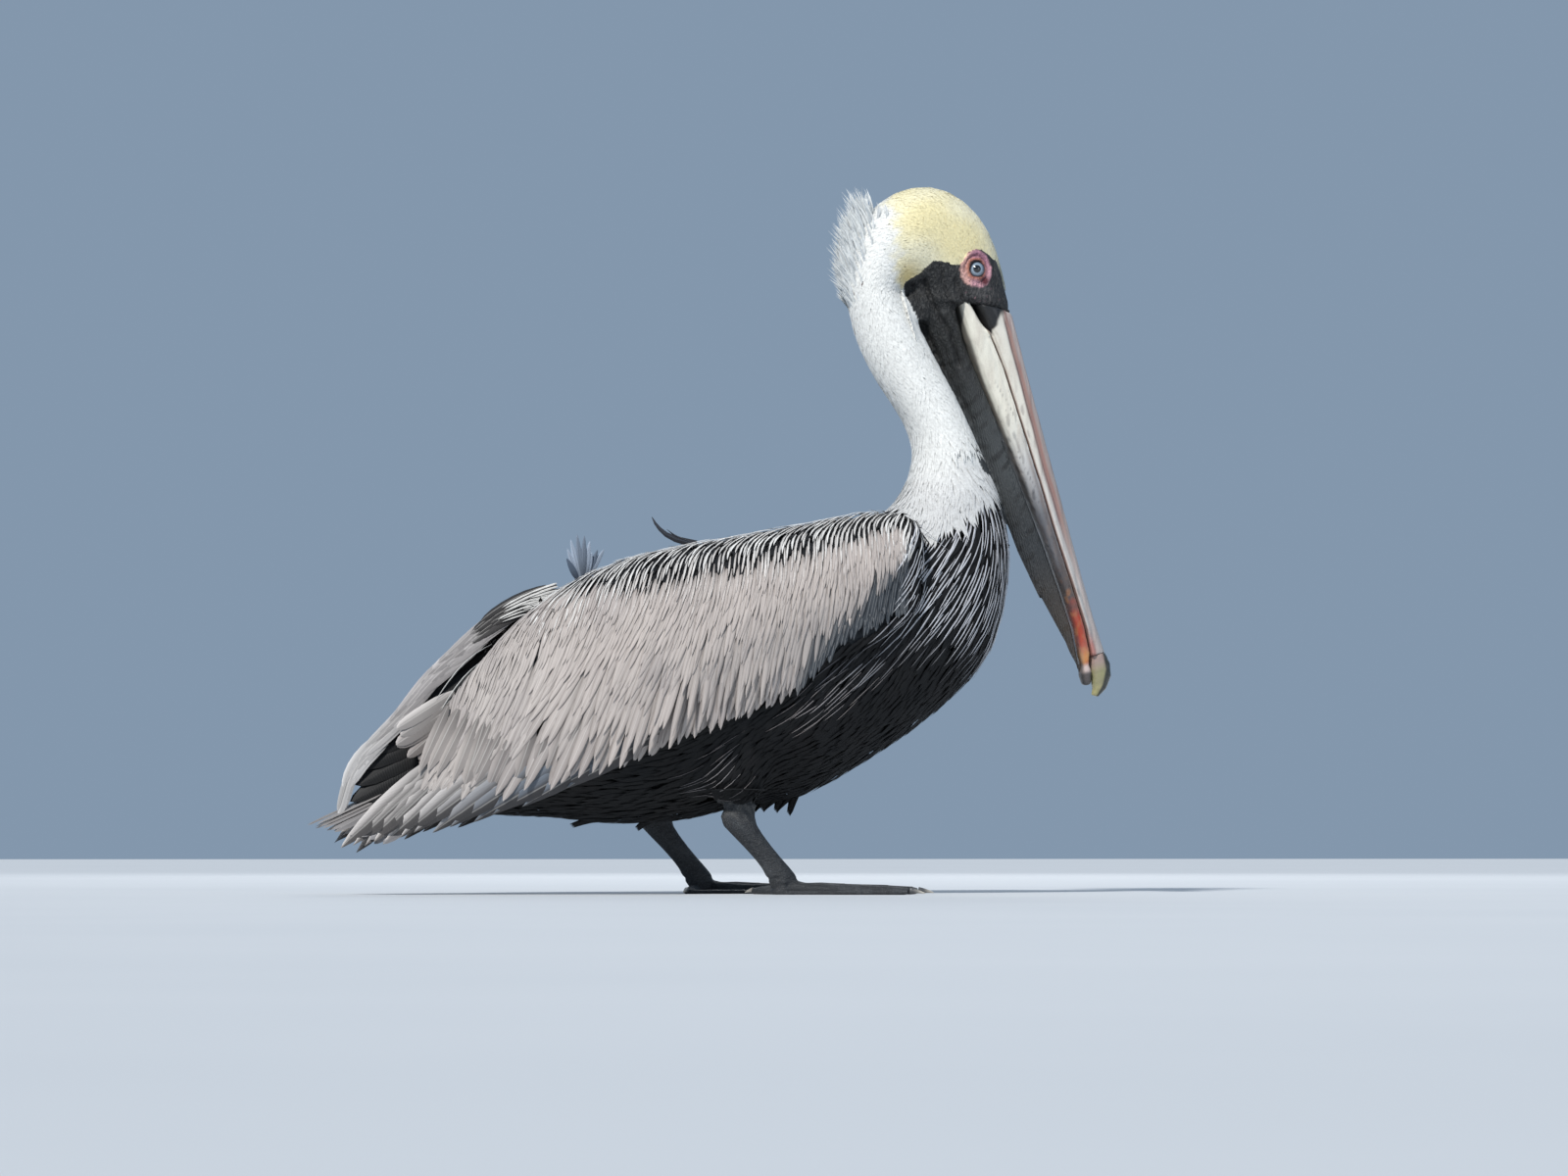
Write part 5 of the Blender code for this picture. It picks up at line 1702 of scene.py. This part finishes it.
def make_coverts(guide):
    """The silver coverts: painted shade darkens their roots and rims, where the feathers overlap, and
    their tips are paler.
    """
    coat = Coat("wing_coat", "feather_grey",
                vane_material("silver_vanes", 0.65, 0.10, shade(224, 219, 213), 0.30), side_unwrap)
    roots, spine, normal = covert_spines(guide)
    count = len(roots)
    rise = rise_of(count, COVERT, -0.0024, -0.0002, 0.00025)
    colour = silver(spine[:, -1])
    own = rng.normal(0, 0.045, count)[:, None, None]

    def tint(along, lane):
        base = colour[:, None] * (1 + own)
        # Darker roots and rims: painted shade where each feather lies under and beside its neighbours.
        root_shade = 0.66 + 0.34 * ramp(along, 0.05, 0.5)
        rim = 1 - 0.34 * ramp(np.abs(lane), 0.6, 1.0) * ramp(along, 0.25, 0.5)
        out = base * (root_shade * rim)[..., None]
        return mix(out, base * 1.15, 0.6 * ramp(along, 0.92, 1.0))

    coat.add(spine, normal, COVERT, cover_width(roots) * spread(count, 0.9, 1.1), COVERT_PROFILE,
             BLADE, 0.00018, rise, tint, curl=0.05)
    coat.finish()


# ---- long feathers -----------------------------------------------------------------
# Rows of long feathers on each wing: points along their roots and along their tips, as
# (x, |y|, z), how many, how wide and how much that varies, how high the roots and tips
# lie, how much higher the first feather is, and the tips' scatter and its share along y.
REAR_FAN = (
    ((-0.196, 0.020, 0.098), (-0.170, 0.040, 0.108), (-0.128, 0.060, 0.104),
     (-0.070, 0.080, 0.108), (-0.030, 0.090, 0.124)),
    ((-0.264, 0.014, 0.0345), (-0.2420, 0.024, 0.0345), (-0.2100, 0.040, 0.0400),
     (-0.165, 0.055, 0.0510), (-0.112, 0.072, 0.0740)),
    14, 0.0150, 0.9, (-0.0056, -0.0016), 0.0012, 0.0018, 0.3)
LONG_COVERTS = (
    ((-0.194, 0.028, 0.130), (-0.172, 0.035, 0.123), (-0.160, 0.040, 0.116),
     (-0.141, 0.045, 0.115), (-0.106, 0.055, 0.124), (-0.072, 0.065, 0.134)),
    ((-0.213, 0.030, 0.0845), (-0.190, 0.035, 0.077), (-0.178, 0.040, 0.070),
     (-0.159, 0.045, 0.0687), (-0.123, 0.055, 0.080), (-0.088, 0.065, 0.0915)),
    17, 0.0100, 0.8, (-0.0028, -0.0006), 0.0, 0.0026, 0.2)
# Feathers that cross between the wings: roots, tips, how many and how wide.
BUNDLE = (((-0.186, 0.020, 0.140), (-0.190, 0.022, 0.124), (-0.192, 0.022, 0.112)),
          ((-0.2250, 0.020, 0.111), (-0.2235, 0.021, 0.097), (-0.2080, 0.022, 0.086)),
          7, 0.0105)
# The far wing's rear outline, as (x, y, z) from the back to the tail, and the rows of
# feathers that follow it: how far inside it, and the share of it that the row covers.
FAR_EDGE = ((-0.1076, 0.008, 0.2195), (-0.118, 0.008, 0.2160), (-0.132, 0.007, 0.2110),
            (-0.1490, 0.004, 0.2020), (-0.1637, 0.000, 0.1910), (-0.1767, -0.003, 0.1785),
            (-0.2035, -0.005, 0.1535), (-0.2193, -0.006, 0.1310), (-0.2383, -0.006, 0.1110),
            (-0.2578, -0.006, 0.0910), (-0.2638, -0.006, 0.0630), (-0.2678, -0.006, 0.0500))
FAR_ROWS = ((0.0022, 1.0), (0.0056, 1.0), (0.0088, 0.92), (0.0120, 0.55))
FAR_LENGTH = 0.050  # how long the feathers of those rows are
FAR_STRIPED = 0.050  # how far along the outline the stripes reach
FAR_FACING = (-0.25, -0.85, 0.50)  # which way those feathers and stripes face
# Rows of black feathers: roots, tips, how many, width, which way they face on the left
# wing, how far their tips stand out, and how much higher the last one lies.
PRIMARIES = (
    (((-0.130, 0.001, 0.180), (-0.155, 0.004, 0.116)),
     ((-0.210, 0.001, 0.128), (-0.246, 0.002, 0.092), (-0.258, 0.003, 0.052)),
     8, 0.017, (-0.15, 1.0, 0.25), 0.003, 0.0012),
    (((-0.145, 0.004, 0.122), (-0.150, 0.046, 0.112)),
     ((-0.245, 0.004, 0.062), (-0.236, 0.026, 0.060)),
     6, 0.015, (-0.40, 0.2, 0.90), 0.002, -0.0010))
# Pale shafts over them: the first and last root, and the first and last tip.
SHAFTS = (((-0.160, 0.022, 0.173), (-0.168, 0.023, 0.153)),
          ((-0.1990, 0.022, 0.134), (-0.1980, 0.023, 0.108)))
SHAFT_COUNT = 3
TAIL_COUNT = 19
# The grey tuft on the back: where it stands, and the lengths of its feathers.
TUFT_FOOT = (-0.095, 0.012, 0.220)
TUFT_LENGTHS = (0.018, 0.024, 0.029, 0.032, 0.031, 0.027, 0.019, 0.022, 0.024)
# Curved dark wisps on the back: points along each, and its width at the base.
WISPS = ((((-0.0120, 0.004, 0.2460), (-0.0260, 0.004, 0.2490), (-0.0360, 0.003, 0.2535),
           (-0.0415, 0.002, 0.2595), (-0.0445, 0.002, 0.2650)), 0.0056),
         (((-0.0150, 0.004, 0.2470), (-0.0270, 0.004, 0.2515), (-0.0340, 0.003, 0.2565)), 0.0022))


def edge_spines(start, length, inward, steps):
    """Spines that follow the far wing's outline, inward of it and drifting outward."""
    path = np.array(FAR_EDGE)
    marks = np.append(0, np.cumsum(np.linalg.norm(np.diff(path, axis=0), axis=1)))
    t = np.array(steps)
    at = np.clip(start[:, None] + length[:, None] * t[None], 0, marks[-1])
    spine = np.mean([on_path(path, marks, at + off) for off in (-0.014, -0.007, 0.0, 0.007, 0.014)], 0)
    way = unit(on_path(path, marks, at + 0.012) - on_path(path, marks, at - 0.012))
    inner = np.stack((-way[..., 2], 0 * at, way[..., 0]), 2)
    return spine + inner * (inward[:, None] * (1 - 0.35 * t[None]))[..., None]


def edge_length():
    """How long the far wing's outline is."""
    return np.linalg.norm(np.diff(np.array(FAR_EDGE), axis=0), axis=1).sum()


def far_edge(coat):
    """The far wing's rear: rows of feathers along its outline, darker under the stripes."""
    for row, (inward, share) in enumerate(FAR_ROWS):
        start = np.arange(0, edge_length() * share - FAR_LENGTH, 0.0060)
        count = len(start)
        start = start + rng.normal(0, 0.002, count)
        length = FAR_LENGTH * spread(count, 0.85, 1.15)
        spine = edge_spines(start, length, inward + rng.normal(0, 0.0008, count), FLIGHT)
        spine[:, :, 1] -= 0.0007 * row
        normal = facing_way(FAR_FACING, spine)
        lift = np.linspace(0.0012, 0, count)[:, None] * np.array(FLIGHT)[None]
        colour = mix(shade(28, 27, 28), shade(172, 167, 166), ramp(start, 0.022, 0.040))
        colour = mix(colour, shade(204, 202, 200), 0.7 * ramp(start, 0.10, 0.15))
        colour = colour * spread(count, 0.70, 1.12)[:, None]
        long_vanes(coat, spine, normal, np.full(count, 0.0062), colour, lift, dark=0.8,
                   inner=0.30)


def wing_row(coat, guide, row, side, tone, inner):
    """One wing's row of long feathers. tone gives their colours from (share, spine)."""
    roots, tips, count, width, least, heights, fanned, scatter, scatter_y = row
    share = np.linspace(0, 1, count)
    ends = path_points(tips, share, side) + rng.normal(0, scatter, (count, 3)) * (1, scatter_y, 1)
    spine, normal = laid(guide, path_points(roots, share, side), ends)
    lift = rise_of(count, FLIGHT, *heights, 0.0003) + fanned * (1 - share)[:, None]
    colour = tone(share, spine) * spread(count, 0.84, 1.08)[:, None]
    long_vanes(coat, spine, normal, width * spread(count, least, 1.1), colour, lift,
               profile=POINTED_PROFILE, inner=inner * side)


def bundle(coat):
    """Feathers that cross the dark gap between the wings."""
    roots, tips, count, width = BUNDLE
    share = np.linspace(0, 1, count)
    ends = path_points(tips, share, RIGHT) + rng.normal(0, 0.002, (count, 3)) * (1, 0.2, 1)
    spine, normal = straight(path_points(roots, share, RIGHT), ends, (-0.10, -0.95, 0.30), -0.003)
    lift = (0.0024 * (1 - share))[:, None] * np.array(FLIGHT)[None]
    colour = mix(shade(190, 184, 180), shade(122, 112, 108), share)
    long_vanes(coat, spine, normal, width * spread(count, 0.8, 1.1), colour, lift, dark=0.8,
               inner=0.5)


def make_flight_coat(guide):
    """The long feathers along each wing's lower edge, and those at the far wing's rear."""
    coat = Coat("flight_coat", "feather_grey",
                vane_material("flight_vanes", 0.6, 0.08, shade(206, 202, 196), 0.35), side_unwrap,
                WING_HANDS)

    def grey(share, spine):
        # The row's front feathers turn blue-grey: painted shade under the coverts.
        return mix(shade(196, 190, 186), shade(116, 124, 134), ramp(share, 0.30, 0.75))

    def covert(share, spine):
        return silver(spine[:, -1])

    for row, tone, inner in ((REAR_FAN, grey, -0.92), (LONG_COVERTS, covert, -0.30)):
        for side in SIDES.values():
            wing_row(coat, guide, row, side, tone, inner)
    bundle(coat)
    far_edge(coat)
    coat.finish()


def make_far_stripes():
    """Pale stripes over the dark part of the far wing's outline."""
    coat = Coat("far_stripes", "feather_grey", feather_material("far_pale_stripes", 0.65, 0.1),
                side_unwrap)
    for inward in np.arange(0.0008, 0.0160, 0.0026):
        start = np.arange(-0.004, FAR_STRIPED - 0.018, 0.011)
        count = len(start)
        start = start + rng.normal(0, 0.002, count)
        spine = edge_spines(start, spread(count, 0.020, 0.028), np.full(count, inward), STREAK)
        spine[:, :, 1] -= 0.0045
        normal = facing_way(FAR_FACING, spine)
        colour = np.tile(shade(214, 212, 208), (count, 1))
        coat.add(spine, normal, STREAK, spread(count, 0.0012, 0.0016), STREAK_PROFILE, NEEDLE,
                 0.0003, np.zeros((count, len(STREAK))), plain_tint(colour, 0.7, 1.0, 0.06))
    coat.finish()


def make_primaries():
    """The folded black primaries between the two wings."""
    coat = Coat("primary_coat", "feather_dark",
                vane_material("primary_vanes", 0.55, 0.0, shade(24, 22, 22), 0.5), side_unwrap,
                ("quills_right", "quills_left"))
    for side in SIDES.values():
        for roots, tips, count, width, facing, rise, lift in PRIMARIES:
            t = np.linspace(0, 1, count)
            spine, normal = straight(path_points(roots, t, side), path_points(tips, t, side),
                                     np.multiply(facing, (1, side, 1)), -rise)
            colour = np.tile(shade(12, 12, 13), (count, 1))
            lift = np.zeros((count, len(FLIGHT))) + lift * t[:, None]
            long_vanes(coat, spine, normal, np.full(count, width), colour, lift, dark=0.9)
    coat.finish()


def make_shafts():
    """Thin pale shafts that cross the black primaries behind the right wing."""
    coat = Coat("shaft_coat", "feather_grey", feather_material("pale_shafts", 0.5, 0.0),
                side_unwrap)
    t = np.linspace(0, 1, SHAFT_COUNT)
    roots, tips = (path_points(path, t, RIGHT) for path in SHAFTS)
    spine, normal = straight(roots, tips, (0.0, -1.0, 0.3), 0.001)
    spine[:, :, 2] += 0.006 * np.sin(np.array(FLIGHT) * math.pi)
    colour = np.tile(shade(214, 212, 208), (SHAFT_COUNT, 1))
    coat.add(spine, normal, FLIGHT, np.full(SHAFT_COUNT, 0.0009), FLIGHT_PROFILE, NEEDLE, 0.0004,
             np.zeros((SHAFT_COUNT, len(FLIGHT))), plain_tint(colour))
    coat.finish()


def make_tail():
    """The tail fan: grey feathers whose outer ones droop on each side."""
    t = np.linspace(-1, 1, TAIL_COUNT)
    roots = np.stack((np.full(TAIL_COUNT, -0.178), t * 0.014, 0.094 - 0.014 * t * t), 1)
    y = t * 0.031
    tips = np.stack((-0.2855 + 0.050 * np.abs(t) ** 1.5, y,
                     0.0462 - 9.0 * y * y + 0.003 * (1 - np.abs(t))), 1)
    tips += rng.normal(0, 0.0018, tips.shape) * (1, 0.4, 0.3)
    facing = unit(np.stack((np.full(TAIL_COUNT, -0.10), t * 0.9, np.ones(TAIL_COUNT)), 1))
    spine, normal = straight(roots, tips, facing, np.full(TAIL_COUNT, 0.003))
    coat = Coat("tail_coat", "feather_grey",
                vane_material("tail_vanes", 0.6, 0.1, shade(190, 186, 182), 0.3), body_unwrap,
                ("tail",))
    colour = mix(shade(178, 172, 168), shade(140, 140, 144), np.abs(t))
    colour = colour * spread(TAIL_COUNT, 0.7, 1.05)[:, None]
    lift = np.zeros((TAIL_COUNT, len(FLIGHT))) + 0.0018 * (1 - np.abs(t))[:, None]
    long_vanes(coat, spine, normal, np.full(TAIL_COUNT, 0.0115), colour, lift, inner=0.5)
    coat.finish()


def make_strays():
    """A grey tuft and thin dark wisps that stand up from the back."""
    coat = Coat("stray_coat", "feather_grey",
                vane_material("stray_vanes", 0.6, 0.1, shade(70, 80, 92), 0.5), body_unwrap)
    count = len(TUFT_LENGTHS)
    share = np.linspace(0, 1, count)
    roots = np.array(TUFT_FOOT) + np.stack((share * 0.007, share * 0.004, share * 0.002), 1)
    lean = np.radians(np.interp(share, (0, 1), (118, 60)))
    way = np.stack((np.cos(lean), 0.1 * np.sin(share * 9), np.sin(lean)), 1)
    tips = roots + way * np.array(TUFT_LENGTHS)[:, None]
    spine, normal = straight(roots, tips, (-0.2, -1.0, 0.1), 0.002 * np.cos(share * 12))
    colour = mix(shade(70, 84, 102), shade(156, 168, 184), np.abs(np.sin(share * 7)))
    lift = np.zeros((count, len(FLIGHT))) + 0.0008 * share[:, None]
    long_vanes(coat, spine, normal, np.full(count, 0.0046), colour, lift, profile=TUFT_PROFILE)
    for path, width in WISPS:
        spine = path_points(path, FLIGHT, 1)[None]
        normal = facing_way((-0.2, -1.0, 0.2), spine)
        long_vanes(coat, spine, normal, np.array((width,)), np.array((shade(52, 54, 62),)),
                   np.zeros((1, len(FLIGHT))), profile=WISP_PROFILE)
    coat.finish()


# ---- stage -------------------------------------------------------------------------
CAMERA_TURN = math.radians(-10.5)
CAMERA_FAR, CAMERA_HIGH = 3.2, 0.03
VIEW_WIDE = 1.104  # how much of the scene's width the picture takes in at the bird
VIEW_X, VIEW_Z = 0.0480, 0.215


def make_camera():
    ahead = Vector((-math.sin(CAMERA_TURN), math.cos(CAMERA_TURN), 0))
    right = Vector((math.cos(CAMERA_TURN), math.sin(CAMERA_TURN), 0))
    target = Vector((0, 0, VIEW_Z)) + right * VIEW_X
    place = target - ahead * CAMERA_FAR
    place.z = CAMERA_HIGH
    data = bpy.data.cameras.new("camera")
    data.sensor_width = 36
    data.lens = 36 * (target - place).length / VIEW_WIDE
    camera = bpy.data.objects.new("camera", data)
    camera.location = place
    camera.rotation_euler = (target - place).to_track_quat("-Z", "Y").to_euler()
    bpy.context.scene.collection.objects.link(camera)
    bpy.context.scene.camera = camera


def make_stage():
    scene = bpy.context.scene
    mesh = bpy.data.meshes.new("floor")
    size = 14.0
    mesh.from_pydata([(-size, -size, 0), (size, -size, 0), (size, size, 0), (-size, size, 0)], [],
                     [(0, 1, 2, 3)])
    floor = bpy.data.objects.new("floor", mesh)
    scene.collection.objects.link(floor)
    s = Shader("pale_floor", 0.85)
    grain = s.noise(3.0, 2)
    mesh.materials.append(s.done(s.blend(grain, shade(196, 200, 204), shade(204, 207, 210))))
    scene.view_settings.view_transform = "Standard"
    world = bpy.data.worlds.new("studio")
    world.use_nodes = True
    back = world.node_tree.nodes["Background"]
    back.inputs["Color"].default_value = (*shade(150, 172, 196), 1.0)
    back.inputs["Strength"].default_value = 0.75
    scene.world = world


def add_light(name, kind, place, aim, energy, size, colour=(1.0, 1.0, 1.0)):
    data = bpy.data.lights.new(name, kind)
    data.energy = energy
    data.color = colour
    if kind == "AREA":
        data.size = size
    else:
        data.angle = size
    light = bpy.data.objects.new(name, data)
    light.location = place
    light.rotation_euler = (Vector(aim) - Vector(place)).to_track_quat("-Z", "Y").to_euler()
    bpy.context.scene.collection.objects.link(light)


def make_lights():
    add_light("key", "SUN", (-1.1, -1.5, 1.9), (0, 0, 0.2), 3.5, math.radians(7), (1.0, 0.98, 0.95))
    add_light("fill", "AREA", (2.2, -2.4, 1.0), (0, 0, 0.2), 10, 1.6, (0.92, 0.96, 1.0))
    add_light("rim", "AREA", (0.6, 2.4, 1.6), (0, 0, 0.25), 14, 1.2)


def main():
    make_camera()
    make_lights()
    make_stage()
    body = Guide(softened(remeshed(BODY_NODES + WING_HANDS, 0.003, 0.0006, 4), thigh_area, 16))
    head = Guide(remeshed(HEAD_NODES, 0.0015, 0.0004, 6))
    finish_skin(make_skin())
    make_bill()
    make_eyes()
    make_claws()
    make_neck_coat(head, body)
    make_crest(head)
    make_body_coat(body)
    make_streaks(body)
    make_wing_bases(body)
    make_stripes(body)
    make_coverts(body)
    make_flight_coat(body)
    make_far_stripes()
    make_primaries()
    make_shafts()
    make_tail()
    make_strays()


main()
